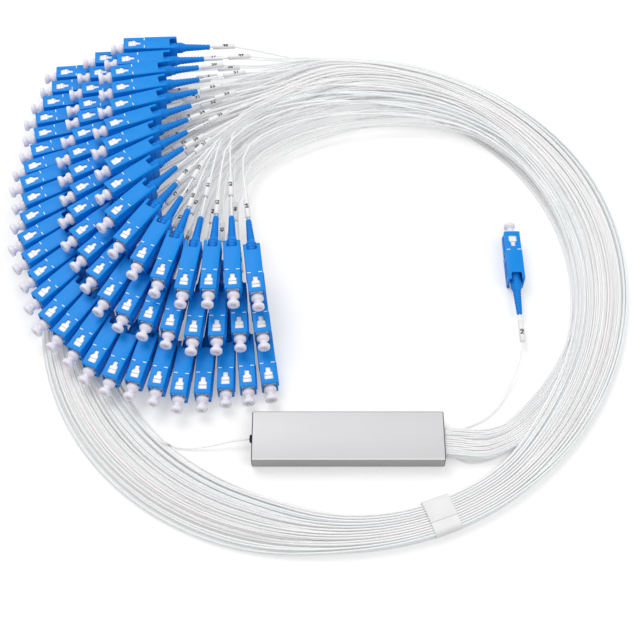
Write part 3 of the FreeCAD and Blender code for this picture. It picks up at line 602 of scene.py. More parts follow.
@dataclass
class PlugPatterns:
    """The pieces of one square push-pull plug, in the plug's own frame, in millimetres.

    X points out of the plug, the origin is the middle of the grip's front face, and the latch
    windows face up and down. A half is half of a width, and a pair of halves or of depths
    gives the wide part first.
    """

    finishes: Finishes
    grip_length: float = 26.6
    grip_front: float = 10.4
    grip_width: float = 7.4
    grip_height: float = 9.0
    shoulder: float = 0.2
    shoulder_length: float = 0.6
    grip_edge: float = 0.38
    key_start: float = 1.0
    key_end: float = 12.0
    key_half: float = 1.4
    key_rise: float = 0.5
    notch_halves: tuple[float, float] = (2.4, 1.9)
    notch_depths: tuple[float, float] = (3.1, 3.6)
    groove_count: int = 5
    groove_start: float = 15.5
    groove_pitch: float = 1.8
    groove_depth: float = 0.22
    groove_half: float = 0.45
    groove_reach: float = 3.0
    # White strips at the shoulder: painted highlights that stand in for light catching the step.
    glint_start: float = 10.15
    glint_end: float = 10.55
    glint_span: tuple[float, float] = (1.7, 3.3)
    glint_rise: float = 0.025
    cutter_reach: float = 6.0
    frame_length: float = 20.0
    frame_width: float = 5.8
    frame_height: float = 7.6
    recess: float = 0.8
    play: float = 0.1
    window_start: float = 2.2
    window_length: float = 4.3
    window_width: float = 3.9
    neck_length: float = 2.0
    neck_width: float = 2.1
    window_slope: float = 0.6
    ear_inset: float = 0.75
    ear_length: float = 1.4
    ear_half: float = 1.75
    ear_rise: float = 0.5
    ring_count: int = 7
    ring_start: float = 31.4
    ring_pitch: float = 1.55
    ring_radius: float = 1.88
    ring_taper: float = 0.08
    ring_depth: float = 0.2
    boot_end: float = 43.2
    sleeve_length: float = 11.0
    sleeve_radius: float = 1.3
    letter_size: float = 2.7
    letter_weight: float = 0.08
    letter_lift: float = 0.05
    letter_shift: float = 0.8
    cap_length: float = 6.5
    sides: int = 20

    def grip(self) -> Piece:
        """Blue outer grip with shoulder, key, latch windows, rear notches and side grooves."""
        half, tall = self.grip_width / 2 * MM, self.grip_height / 2 * MM
        piece = Bench.block("grip_pattern", (-self.grip_front * MM, -half, -tall), (0, half, tall))
        Bench.choose(piece, "faces", lambda face: face.normal.x < -0.5)
        step = self.shoulder_length * MM
        bpy.ops.mesh.extrude_region_move(TRANSFORM_OT_translate={"value": (-step, 0, 0)})
        wider = 1 + self.shoulder / (self.grip_width / 2)
        bpy.ops.transform.resize(value=(1, wider, 1), center_override=(0, 0, 0))
        rest = (self.grip_length - self.grip_front) * MM - step
        bpy.ops.mesh.extrude_region_move(TRANSFORM_OT_translate={"value": (-rest, 0, 0)})
        Bench.tidy(piece)
        Bench.apply(piece, "BEVEL", width=self.grip_edge * MM, segments=2,
                    limit_method="ANGLE", angle_limit=math.radians(40))
        rib = self.key_half * MM
        key = Bench.block("key", (-self.key_end * MM, half - 0.4 * MM, -rib),
                          (-self.key_start * MM, half + self.key_rise * MM, rib), 0.15 * MM, 1)
        Bench.carve(piece, key, how="UNION")
        across = (self.frame_width / 2 + self.play) * MM
        up = (self.frame_height / 2 + self.play) * MM
        hollow = Bench.block("hollow", (-30 * MM, -across, -up), (1 * MM, across, up),
                             0.25 * MM, 1, True)
        Bench.carve(piece, hollow, self._window_tool(), self._notch_tool(), *self._groove_tools())
        Bench.tidy(piece)
        Bench.soften(piece)
        Bench.dress(piece, self.finishes.blue_grip)
        # The white strips joined on here are painted highlights at the shoulder.
        return Bench.merge("grip_pattern", [piece, *self._painted_glints()])

    def _window_tool(self) -> Piece:
        """Cutter for both latch windows: a wide mouth with sloped shoulders and a neck."""
        wide, slim = self.window_width / 2 * MM, self.neck_width / 2 * MM
        start = -self.window_start * MM
        end = start - self.window_length * MM
        neck = end - self.neck_length * MM
        slope = self.window_slope * MM
        reach = self.cutter_reach * MM
        outline = [(start, -wide), (start, wide), (end + slope, wide), (end, slim), (neck, slim),
                   (neck, -slim), (end, -slim), (end + slope, -wide)]
        return Bench.prism("window_tool", outline, -reach, reach)

    def _notch_tool(self) -> Piece:
        """Cutter for the notch at the rear of both broad faces."""
        wide, slim = (half * MM for half in self.notch_halves)
        rear = -self.grip_length * MM
        bend, deep = (rear + depth * MM for depth in self.notch_depths)
        reach = self.cutter_reach * MM
        outline = [(rear - MM, -wide), (rear - MM, wide), (bend, wide), (deep, slim),
                   (deep, -slim), (bend, -wide)]
        return Bench.prism("notch_tool", outline, -reach, reach)

    def _groove_tools(self) -> list[Piece]:
        """Cutters for the finger grooves on both narrow sides."""
        side = (self.grip_width / 2 + self.shoulder) * MM
        half, reach = self.groove_half * MM, self.groove_reach * MM
        tools = []
        for number in range(self.groove_count):
            x = -(self.groove_start + self.groove_pitch * number) * MM
            for sign in (-1, 1):
                low, high = sorted((sign * (side - self.groove_depth * MM), sign * (side + MM)))
                tools.append(Bench.block("groove_tool", (x - half, low, -reach),
                                         (x + half, high, reach)))
        return tools

    def _painted_glints(self) -> list[Piece]:
        """Painted highlight: white strips across the edges of both broad faces, at the shoulder
        step.
        """
        glints = []
        top = self.grip_height / 2 * MM
        inner, outer = self.glint_span
        for sign in (-1, 1):
            for face in (-1, 1):
                low, high = sorted((sign * inner * MM, sign * outer * MM))
                base, lid = sorted((face * (top - 0.1 * MM), face * (top + self.glint_rise * MM)))
                glint = Bench.block("glint", (-self.glint_end * MM, low, base),
                                   (-self.glint_start * MM, high, lid), 0.02 * MM, 1)
                glints.append(Bench.dress(glint, self.finishes.painted_glint))
        return glints

    def frame_piece(self) -> Piece:
        """White plug frame with its ears and the round mouth for the ferrule."""
        across, up = self.frame_width / 2 * MM, self.frame_height / 2 * MM
        piece = Bench.block("frame_pattern", (-self.frame_length * MM, -across, -up),
                            (-self.recess * MM, across, up), 0.3 * MM, 2)
        rear = -(self.window_start + self.window_length) + self.ear_inset
        wide, tall = self.ear_half * MM, up + self.ear_rise * MM
        ear = Bench.block("ear", (rear * MM, -wide, -tall),
                          ((rear + self.ear_length) * MM, wide, tall), 0.15 * MM, 1)
        Bench.carve(piece, ear, how="UNION")
        mouth = Bench.turned("mouth", metres([(1, 2.75), (-0.3, 2.45), (-7, 2.4)]), 24)
        Bench.carve(piece, mouth)
        Bench.tidy(piece)
        Bench.soften(piece)
        return Bench.dress(piece, self.finishes.white_frame)

    def cap(self) -> Piece:
        """Milky dust cap: a nose inside the plug, two flanges and a waist."""
        end = self.cap_length
        stations = [(-5.0, 1.8), (-4.7, 2.1), (0.04, 2.1), (0.05, 2.5), (0.25, 2.78), (1.5, 2.82),
                    (1.85, 2.66), (2.3, 2.15), (2.8, 1.72), (3.3, 1.6), (end - 2.75, 1.66),
                    (end - 2.3, 2.05), (end - 1.95, 2.5), (end - 1.65, 2.74), (end - 0.4, 2.74),
                    (end - 0.1, 2.52), (end, 2.1), (end, 1.3), (end - 0.9, 1.15)]
        piece = Bench.turned("cap_pattern", metres(stations), self.sides)
        Bench.soften(piece, 50)
        return Bench.dress(piece, self.finishes.milky_cap)

    def boot(self) -> Piece:
        """Blue strain relief: a grooved collar, a cone and a long ringed taper."""
        stations = [(-21.0, 2.4), (-21.3, 2.7)]
        for x in (-24.6, -26.4, -28.0):
            stations += [(x + 0.2, 2.7), (x + 0.1, 2.52), (x - 0.15, 2.52), (x - 0.25, 2.7)]
        stations += [(-29.0, 2.66), (-29.4, 2.4), (-30.6, 1.95)]
        for number in range(self.ring_count):
            x = -self.ring_start - self.ring_pitch * number
            r = self.ring_radius - self.ring_taper * number
            deep = r - self.ring_depth
            stations += [(x, r), (x - 0.1, deep), (x - 0.55, deep), (x - 0.65, r - 0.03)]
        stations += [(-42.9, 1.28), (-self.boot_end, 1.1), (-self.boot_end, 0.6)]
        piece = Bench.turned("boot_pattern", metres(stations), 16)
        Bench.soften(piece, 40)
        return Bench.dress(piece, self.finishes.blue_boot)

    def sleeve(self, gap: float, label: str) -> Piece:
        """White sleeve with its label on top.

        Args:
            gap: distance from the boot's end to the sleeve, in millimetres.
            label: what is printed on it.

        Returns:
            The sleeve, in the plug's frame.
        """
        front = -(self.boot_end + gap)
        rear = front - self.sleeve_length
        r = self.sleeve_radius
        stations = [(front, 0.75), (front, r - 0.12), (front - 0.15, r), (rear + 0.15, r),
                    (rear, r - 0.12), (rear, 0.75)]
        piece = Bench.turned("sleeve", metres(stations), 14)
        Bench.soften(piece, 50)
        Bench.dress(piece, self.finishes.sleeve)
        middle = (front + rear) / 2 - self.letter_shift
        return Bench.merge("sleeve", [piece, self._print(label, middle)])

    def _print(self, label: str, middle: float) -> Piece:
        """Label wrapped round the top of the sleeve.

        Args:
            label: the text.
            middle: X of its middle, in millimetres.

        Returns:
            A thin mesh of the letters.
        """
        Bench.clear()
        bpy.ops.object.text_add()
        letters = bpy.context.object
        letters.data.body = label
        letters.data.size = self.letter_size * MM
        letters.data.align_x = "CENTER"
        letters.data.align_y = "CENTER"
        letters.data.resolution_u = 2
        letters.data.offset = self.letter_weight * MM
        Bench.pick(letters)
        bpy.ops.object.convert(target="MESH")
        Bench.edit(letters)
        bpy.ops.mesh.quads_convert_to_tris()
        bpy.ops.mesh.subdivide(number_cuts=2)
        bpy.ops.object.mode_set(mode="OBJECT")
        radius = (self.sleeve_radius + self.letter_lift) * MM
        for corner in letters.data.vertices:
            x, turn = middle * MM - corner.co.x, -corner.co.y / radius
            corner.co = (x, radius * math.sin(turn), radius * math.cos(turn))
        return Bench.dress(letters, self.finishes.ink)


# ---------------------------------------------------------------- where the plugs lie


@dataclass
class PlugPlace:
    """Where one plug lies.

    Attributes:
        layer: 0 for the fan's lowest layer.
        index: place in the layer, from the first.
        share: how far along the fan it is, from 0 to 1.
        place: the plug's frame, in metres.
        gap: distance from the boot to the label sleeve, in millimetres.
        grip_body: the body that its grip rides on.
        cap_body: the body that its dust cap rides on.
    """

    layer: int
    index: int
    share: float
    place: Matrix
    gap: float
    grip_body: str = ROOT
    cap_body: str = ROOT

    def at(self, x: float, y: float = 0.0, z: float = 0.0) -> Vector:
        """Point among the pieces, in millimetres, from one in the plug's frame."""
        return (self.place @ (Vector((x, y, z)) * MM)) / MM


@dataclass
class Layer:
    """One layer of the fan: how many plugs, how far back at least, and how far they lean."""

    count: int
    setback: float
    pitch: float


@dataclass
class Fan:
    """The fan of output plugs. Sizes in millimetres, angles in degrees.

    The tips lie on one cubic curve, and the headings turn a little faster along it.
    """

    tips: tuple[tuple[float, float], ...] = ((-153.0, 207.0), (-177.0, 124.0), (-158.0, -24.0),
                                             (-29.0, 21.0))
    layers: tuple[Layer, ...] = (Layer(26, 0.0, 0.0), Layer(21, 20.0, -2.0),
                                 Layer(17, 35.0, -3.0))
    first_heading: float = 184.0
    last_heading: float = 279.0
    heading_power: float = 1.2
    setback_swell: float = 0.4
    layer_gap: float = 0.3
    floor_gap: float = 0.02
    sway: float = 0.25
    stagger: float = 1.2
    coil_height: float = 5.0
    coil_gap: float = 0.2
    rest_height: float = 2.6
    rest_from: float = 0.23
    rest_to: float = 0.29
    rest_lead: float = 0.07
    floor_from: float = 0.74
    floor_to: float = 0.92
    floor_lag: float = 0.05
    sleeve_clear: float = 1.5
    sleeve_step: float = 9.0
    sleeve_stagger: float = 11.0
    cap_length: float = PlugPatterns.cap_length
    grip_length: float = PlugPatterns.grip_length
    grip_height: float = PlugPatterns.grip_height
    jointed: tuple[int, ...] = (2, 7, 12, 17, 22)
    steps: int = 1200

    def base_height(self, share: float, layer: int) -> float:
        """Height that the lowest layer lies on: beside the ring, on it, then the floor."""
        top = self.coil_height + self.coil_gap
        up = smooth(share + self.rest_lead * layer, self.rest_from, self.rest_to)
        down = smooth(share - self.floor_lag * layer, self.floor_from, self.floor_to)
        return mix(self.rest_height, top, up) * (1 - down)

    def _curve(self) -> tuple[list[Vector], list[Vector]]:
        """Points of the tips' curve and the heading at each."""
        a, b, c, d = (Vector((*tip, 0.0)) for tip in self.tips)
        points, headings = [], []
        for k in range(self.steps + 1):
            t = k / self.steps
            u = 1 - t
            points.append(a * u ** 3 + b * 3 * u * u * t + c * 3 * u * t * t + d * t ** 3)
            turn = (self.last_heading - self.first_heading) * t ** self.heading_power
            angle = math.radians(self.first_heading + turn)
            headings.append(Vector((math.cos(angle), math.sin(angle), 0.0)))
        return points, headings

    def places(self) -> list[PlugPlace]:
        """Every output plug, layer by layer."""
        tips, headings = self._curve()
        body = self.cap_length + self.grip_length
        found: list[PlugPlace] = []
        top_layer = len(self.layers) - 1
        for number, layer in enumerate(self.layers):
            swells = [self.setback_swell * math.sin(math.pi * k / self.steps)
                      for k in range(self.steps + 1)]
            setbacks = [layer.setback * (1 + swell) for swell in swells]
            rears = [tip - heading * (body + back)
                     for tip, heading, back in zip(tips, headings, setbacks)]
            reached = [0.0]
            for before, after, heading in zip(rears, rears[1:], headings[1:]):
                step = after - before
                reached.append(reached[-1] + abs(step.x * heading.y - step.y * heading.x))
            for index in range(layer.count):
                share = (index + 0.5) / layer.count
                k = next(n for n, run in enumerate(reached) if run >= share * reached[-1])
                angle = math.atan2(headings[k].y, headings[k].x)
                angle += math.radians(self.sway) * math.sin(2.4 * index + 1.9 * number)
                stagger = self.stagger * math.sin(1.7 * index + 0.8 * number)
                spot = tips[k] - headings[k] * (self.cap_length + setbacks[k] + stagger)
                rise = number * (self.grip_height + self.layer_gap)
                spot.z = (self.base_height(share, number) + rise + self.grip_height / 2
                          + self.floor_gap)
                turn = (Matrix.Rotation(angle, 4, "Z")
                        @ Matrix.Rotation(math.radians(layer.pitch), 4, "Y"))
                gap = (self.sleeve_clear + self.sleeve_step * (top_layer - number)
                       + self.sleeve_stagger * (index % 2))
                place = Matrix.Translation(spot * MM) @ turn
                found.append(PlugPlace(number, index, share, place, gap))
        lowest = [plug for plug in found if plug.layer == 0 and plug.index in self.jointed]
        for number, plug in enumerate(lowest, start=1):
            plug.grip_body = f"output_grip_{number}"
            plug.cap_body = f"output_dust_cap_{number}"
        return found


# ---------------------------------------------------------------- tubing


@dataclass
class Ring:
    """The tied ring of tubing. Sizes in millimetres."""

    centre: tuple[float, float] = (-4.7, 82.4)
    outer: float = 138.0
    inner: float = 111.0
    height: float = 5.0
    swell: float = 8.7
    swell_angle: float = 40.0
    slimming: float = 3.4
    strap_angle: float = -69.5
    strap_inner: float = 116.9
    strap_outer: float = 133.4
    strap_height: float = 5.2
    strap_width: float = 12.0
    strap_bevel: float = 2.3
    strap_thickness: float = 0.55
    flap_start: float = 2.4
    flap_end: float = 6.0
    flap_rise: float = 0.4
    tied_from: float = 14.0
    tied_to: float = 38.0

    def shaped(self, radius: float, angle: float, tied: float, passing: float) -> float:
        """Radius of a tube after the ring's own bulge and the strap's squeeze.

        Args:
            radius: the tube's radius in a plain ring.
            angle: where on its way round it is.
            tied: its radius under the strap.
            passing: the angle at which it passes under the strap.

        Returns:
            The radius in this ring.
        """
        share = (radius - self.inner) / (self.outer - self.inner)
        turn = math.radians(angle - self.swell_angle)
        bulge = self.swell * abs(math.cos(turn)) ** 3 - self.slimming
        squeeze = 1 - smooth(abs(angle - passing), self.tied_from, self.tied_to)
        return mix(radius + share * bulge, tied, squeeze)

    def at(self, angle: float, radius: float, z: float) -> Point:
        """Point from an angle in degrees, a radius and a height."""
        turn = math.radians(angle)
        x, y = self.centre
        return (x + radius * math.cos(turn), y + radius * math.sin(turn), z)


def draw_cord(name: str, points: Sequence[Sequence[float]], diameter: float,
              material: bpy.types.Material) -> Piece:
    """Round cord along a smooth spline.

    Args:
        name: the cord's name.
        points: its control points, in millimetres.
        diameter: in millimetres.
        material: its finish.

    Returns:
        The curve object.
    """
    curve = bpy.data.curves.new(name, "CURVE")
    curve.dimensions = "3D"
    line = curve.splines.new("NURBS")
    line.points.add(len(points) - 1)
    for corner, (x, y, z) in zip(line.points, points):
        corner.co = (x * MM, y * MM, z * MM, 1.0)
    line.order_u = 3
    line.use_endpoint_u = True
    curve.resolution_u = 4
    curve.bevel_depth = diameter / 2 * MM
    curve.bevel_resolution = 2
    curve.use_fill_caps = True
    curve.materials.append(material)
    cord = bpy.data.objects.new(name, curve)
    bpy.context.scene.collection.objects.link(cord)
    return cord


def measured(cord: Piece) -> float:
    """Length of a cord's centreline, in metres."""
    bare = cord.copy()
    bare.data = cord.data.copy()
    bare.data.bevel_depth = 0.0
    line = bpy.data.meshes.new_from_object(bare)
    total = sum((line.vertices[a].co - line.vertices[b].co).length
                for a, b in (edge.vertices for edge in line.edges))
    bpy.data.meshes.remove(line)
    bpy.data.objects.remove(bare)
    return total


@dataclass
class OutputTail:
    """Route of one output tail from the box, round the ring and out to its plug.

    A span gives a value for the first tail and for the last. A pair of margins is from the
    ring's outer side and from its inner side. A crest gives the height at the ring's sides
    and how much higher its middle is. Tails leave the box in rows one above the other: a
    tier is a tail's row, counted from the lowest, and its drop is how far it lies under the
    crest. Sizes in millimetres, angles in degrees.
    """

    ring: Ring
    plug: PlugPlace
    rank: int
    total: int
    dice: random.Random
    rows: int = 5
    tiers: tuple[int, ...] = (4, 2, 3, 1, 0)
    drops: tuple[float, ...] = (1.6, 0.82, 0.82, 0.0, 0.0)
    floor: float = 0.47
    exit_x: float = 40.5
    exit_middle: float = 4.0
    exit_span: tuple[float, float] = (-7.3, 4.6)
    tied_span: tuple[float, float] = (133.25, 119.7)
    start_span: tuple[float, float] = (118.0, 105.2)
    lane_margins: tuple[float, float] = (1.2, 2.0)
    lane_jitter: float = 0.6
    lead_jitter: float = 0.45
    wave_range: tuple[float, float] = (0.2, 1.3)
    pace_range: tuple[float, float] = (0.8, 1.7)
    wave_from: tuple[float, float] = (-10.0, 40.0)
    wave_stop: float = 15.0
    slot_margin: float = 1.5
    edge_margins: tuple[float, float] = (0.7, 1.4)
    entry_end: float = -6.0
    entry_settled: float = -30.0
    entry_share: float = 0.7
    settling: float = 70.0
    climbing: float = 50.0
    leave_span: tuple[float, float] = (97.0, 38.0)
    alone_from: tuple[float, float] = (85.0, 125.0)
    over_from: tuple[float, float] = (299.0, 322.0)
    crest_under: tuple[float, float] = (1.3, 0.9)
    crest_alone: tuple[float, float] = (1.3, 2.7)
    crest_over: tuple[float, float] = (2.9, 1.6)
    top_lift: float = 0.7
    top_step: float = 1.15
    row_pitch: float = 0.93
    entry_angle: float = -44.0
    angle_step: float = 13.0
    free_radius: float = 120.0
    far_reach: float = 0.25
    far_share: float = 0.12
    near_reach: float = 0.29
    near_share: float = 0.3
    bend_pull: float = 0.2
    diameter: float = 0.9
    sleeve_length: float = PlugPatterns.sleeve_length
    boot_end: float = PlugPatterns.boot_end

    def __post_init__(self) -> None:
        """Settle the tail's lane and how it wanders."""
        self.tier = self.tiers[self.rank % self.rows]
        self.lead_share = (self.rank // self.rows) / ((self.total - 1) // self.rows)
        lane = self.rank / (self.total - 1)
        self.dome = 1 - abs(2 * lane - 1) ** 3
        self.tied = mix(*self.tied_span, self.lead_share)
        self.start = mix(*self.start_span, lane)
        outer, inner = self.lane_margins
        self.lane = mix(self.ring.outer - outer, self.ring.inner + inner, lane)
        self.lane += self.dice.uniform(-self.lane_jitter, self.lane_jitter)
        self.wave = self.dice.uniform(*self.wave_range)
        self.pace = self.dice.uniform(*self.pace_range)
        self.phase = self.dice.uniform(0, 2 * math.pi)
        self.loose = [self.dice.uniform(-self.lead_jitter, self.lead_jitter) for _ in range(4)]
        self.leave = mix(*self.leave_span, self.plug.share)
        self.end = 360.0 + self.leave
        self.exit_height = self.exit_middle + self.row_pitch * (self.tier - self.rows // 2)

    def radius(self, angle: float) -> float:
        """Distance from the ring's centre at an angle that counts on past a full turn."""
        ring = self.ring
        settle = self.end - self.settling
        base = mix(self.start, self.lane, smooth(angle, self.entry_angle - 2, self.entry_end))
        free = smooth(angle, *self.wave_from)
        free *= 1 - smooth(angle, settle, self.end - self.wave_stop)
        base += free * self.wave * math.sin(self.pace * math.radians(angle) + self.phase)
        width = ring.outer - ring.inner - 2 * self.slot_margin
        slot = ring.outer - self.slot_margin - self.plug.share * width
        base = mix(base, slot, smooth(angle, settle, self.end))
        outermost, innermost = ring.outer - self.edge_margins[0], ring.inner + self.edge_margins[1]
        low = mix(min(self.start, innermost), innermost,
                  smooth(angle, self.entry_angle, self.entry_end))
        base = min(outermost, max(low, base))
        return ring.shaped(base, angle, self.tied, 360 + ring.strap_angle)

    def height(self, angle: float) -> float:
        """Height at an angle: under the last turn, alone on the far side, then on top."""
        ring = self.ring
        under, alone, over = (edge + rise * self.dome for edge, rise in (
            self.crest_under, self.crest_alone, self.crest_over))
        crest = mix(mix(under, alone, smooth(angle, *self.alone_from)), over,
                    smooth(angle, *self.over_from))
        level = max(self.floor, crest - self.drops[self.tier])
        passing = abs(angle - 360 - ring.strap_angle)
        squeeze = 1 - smooth(passing, ring.tied_from, ring.tied_to)
        level = mix(level, self.floor + self.row_pitch * self.tier, squeeze)
        entry = mix(self.exit_height, level, self.entry_share)
        level = mix(entry, level, smooth(angle, self.entry_angle, self.entry_settled))
        top = ring.height + self.diameter * (self.top_lift + self.top_step * self.plug.layer)
        return mix(level, top, smooth(angle, self.end - self.climbing, self.end))

    def points(self) -> list[Point]:
        """Control points in millimetres, from the box to inside the boot."""
        z, low = self.exit_height, self.height(self.entry_angle)
        s = self.lead_share
        a, b, c, d = self.loose
        route: list[Point] = [(self.exit_x, mix(*self.exit_span, s) + 0.3 * a, z),
                              (48.0, mix(-8.1, 4.3, s) + b, z - 0.3 * c),
                              (55.5, mix(-8.9, 3.8, s) + c, mix(z, low, 0.3) + 0.4 * d),
                              (63.0, mix(-8.2, 4.8, s) + d, mix(z, low, 0.65) + 0.3 * b)]
        angle = self.entry_angle
        while angle < self.end - 0.6 * self.angle_step:
            route.append(self.ring.at(angle, self.radius(angle), self.height(angle)))
            angle += self.angle_step
        return route + self._free_end()

    def _free_end(self) -> list[Point]:
        """The last stretch, from the ring through the number sleeve into the boot."""
        plug = self.plug
        front = -self.boot_end - plug.gap
        start = plug.at(front - self.sleeve_length)
        forward = (plug.at(0) - plug.at(-1)).normalized()
        top = self.height(self.end)
        end = Vector(self.ring.at(self.leave, self.radius(self.end), top))
        span = (end - start).length
        turn = math.radians(self.leave) + self.far_reach * span / self.free_radius
        travel = Vector((-math.sin(turn), math.cos(turn), 0.0))
        near = start - forward * self.near_reach * span
        near.z = mix(start.z, top, self.near_share)
        far = end + travel * self.far_reach * span
        far.z = mix(top, start.z, self.far_share)
        bend = (far + near) / 2 + (far - end + near - start) * self.bend_pull
        bend.z = (far.z + near.z) / 2
        inside = plug.at(front + 0.45 * plug.gap)
        boot = plug.at(-self.boot_end + 2)
        return [tuple(p) for p in (end, far, bend, near, start, plug.at(front), inside, boot)]


@dataclass
class InputTail:
    """Route of the input tail: gland, under the fan, round the ring and back to its plug.

    Sizes in millimetres, angles in degrees.
    """

    ring: Ring
    plug: PlugPlace
    floor: float = 0.45
    gland_end: float = -42.5
    radius: float = 112.0
    drift: float = 5.4
    drift_from: float = 0.75
    ripple: float = 0.3
    ripple_pace: float = 9.0
    tied: float = 118.9
    turn_step: float = 15.0
    first_angle: float = 205.0
    last_angle: float = -390.0

    def points(self) -> list[Point]:
        """Control points in millimetres."""
        floor = self.floor
        start = self.gland_end
        near_box: list[Point] = [(start, 0, 4.0), (start - 8, -0.6, 3.6), (start - 18, -2.6, 1.6),
                                 (start - 30, -3.6, floor), (start - 41, 0.5, floor),
                                 (start - 49, 9.5, floor), (start - 55.5, 21, floor)]
        turns: list[Point] = []
        count = int((self.first_angle - self.last_angle) / self.turn_step)
        for k in range(count + 1):
            share = k / count
            radius = self.radius + self.drift * smooth(share, self.drift_from, 1.0)
            radius -= self.ripple * math.sin(self.ripple_pace * share)
            angle = mix(self.first_angle, self.last_angle, share)
            radius = self.ring.shaped(radius, angle, self.tied, self.ring.strap_angle)
            turns.append(self.ring.at(angle, radius, floor))
        near_plug: list[Point] = [(88, 10.0, floor), (74, -2.0, floor), (62, -9.0, floor),
                                  (52, -10.2, floor), (45.4, -6.6, floor), (43.6, -0.2, floor),
                                  (47.4, 5.6, floor), (55.2, 8.0, floor), (63, 12.2, floor),
                                  (69.4, 19.8, 0.9)]
        near_plug += [tuple(self.plug.at(x, y, z)) for x, y, z in (
            (-75.5, 5.8, -2.6), (-66.5, 1.8, -0.9), (-57.7, 0, 0), (-50, 0, 0), (-41, 0, 0))]
        return near_box + turns + near_plug


@dataclass
class Tubing:
    """All cords of the splitter and the strap round them.

    Of the output tails, in their order round the ring, the first five of every eight say
    what kind of cord they are, until as many have done so as declared allows.
    """

    finishes: Finishes
    ring: Ring
    diameter: float = OutputTail.diameter
    declared: int = 39
    declared_of: tuple[int, int] = (5, 8)
    seed: int = 20
    tints: tuple[Tint, ...] = (*[Tint.WHITE] * 7, *[Tint.PEARL] * 2, Tint.SKY, Tint.ROSE, Tint.MINT)

    def build(self, plugs: Sequence[PlugPlace], pieces: dict[int, list[Piece]],
              input_plug: PlugPlace, input_pieces: list[Piece]) -> None:
        """Make every tail.

        Args:
            plugs: the output plugs.
            pieces: not used.
            input_plug: the input plug.
            input_pieces: not used.
        """
        dice = random.Random(self.seed)
        ranked = sorted(range(len(plugs)), key=lambda n: (plugs[n].share, plugs[n].layer))
        for rank, number in enumerate(ranked):
            route = OutputTail(self.ring, plugs[number], rank, len(plugs), dice).points()
            cord = draw_cord(f"output_tail_{number + 1:02d}", route, self.diameter,
                             self.finishes.tubing[dice.choice(self.tints)])
            finished(cord, ROOT, "fibre_tube", "output_tails", "output_lead", "fibre_coil")
            measured(cord)
        route = InputTail(self.ring, input_plug).points()
        cord = draw_cord("input_tail_cord", route, self.diameter,
                         self.finishes.tubing[Tint.WHITE])
        finished(cord, ROOT, "fibre_tube", "input_tail")
        length = measured(cord)
        log.info("input tail %.3f m", length)

    def strap(self) -> Piece:
        """Hook-and-loop strap wrapped round the ring, with its free end on top."""
        ring = self.ring
        inner, outer = ring.strap_inner, ring.strap_outer
        high, half = ring.strap_height, ring.strap_width / 2
        band = Bench.block("ring_strap", (inner * MM, -half * MM, 0.0),
                           (outer * MM, half * MM, high * MM))
        Bench.choose(band, "edges", lambda line: Bench.runs(line, 1))
        bpy.ops.mesh.bevel(offset=ring.strap_bevel * MM, segments=7, affect="EDGES")
        bpy.ops.object.mode_set(mode="OBJECT")
        Bench.choose(band, "faces", lambda face: abs(face.normal.y) > 0.9)
        bpy.ops.mesh.delete(type="FACE")
        bpy.ops.object.mode_set(mode="OBJECT")
        Bench.apply(band, "SOLIDIFY", thickness=ring.strap_thickness * MM, offset=-1.0)
        flap = Bench.block("flap", ((inner + ring.flap_start) * MM, -half * MM, high * MM),
                           ((outer - ring.flap_end) * MM, half * MM, (high + ring.flap_rise) * MM),
                           0.18 * MM, 2)
        band = Bench.merge("ring_strap", [band, flap])
        Bench.apply(band, "BEVEL", width=0.12 * MM, segments=1, limit_method="ANGLE",
                    angle_limit=math.radians(50))
        Bench.soften(band)
        Bench.dress(band, self.finishes.strap)
        turn = Matrix.Rotation(math.radians(ring.strap_angle), 4, "Z")
        shift = Matrix.Translation(Vector((*ring.centre, 0.0)) * MM)
        band.data.transform(shift @ turn)
        return finished(band, ROOT, "strap", "coil_strap")


# ---------------------------------------------------------------- box


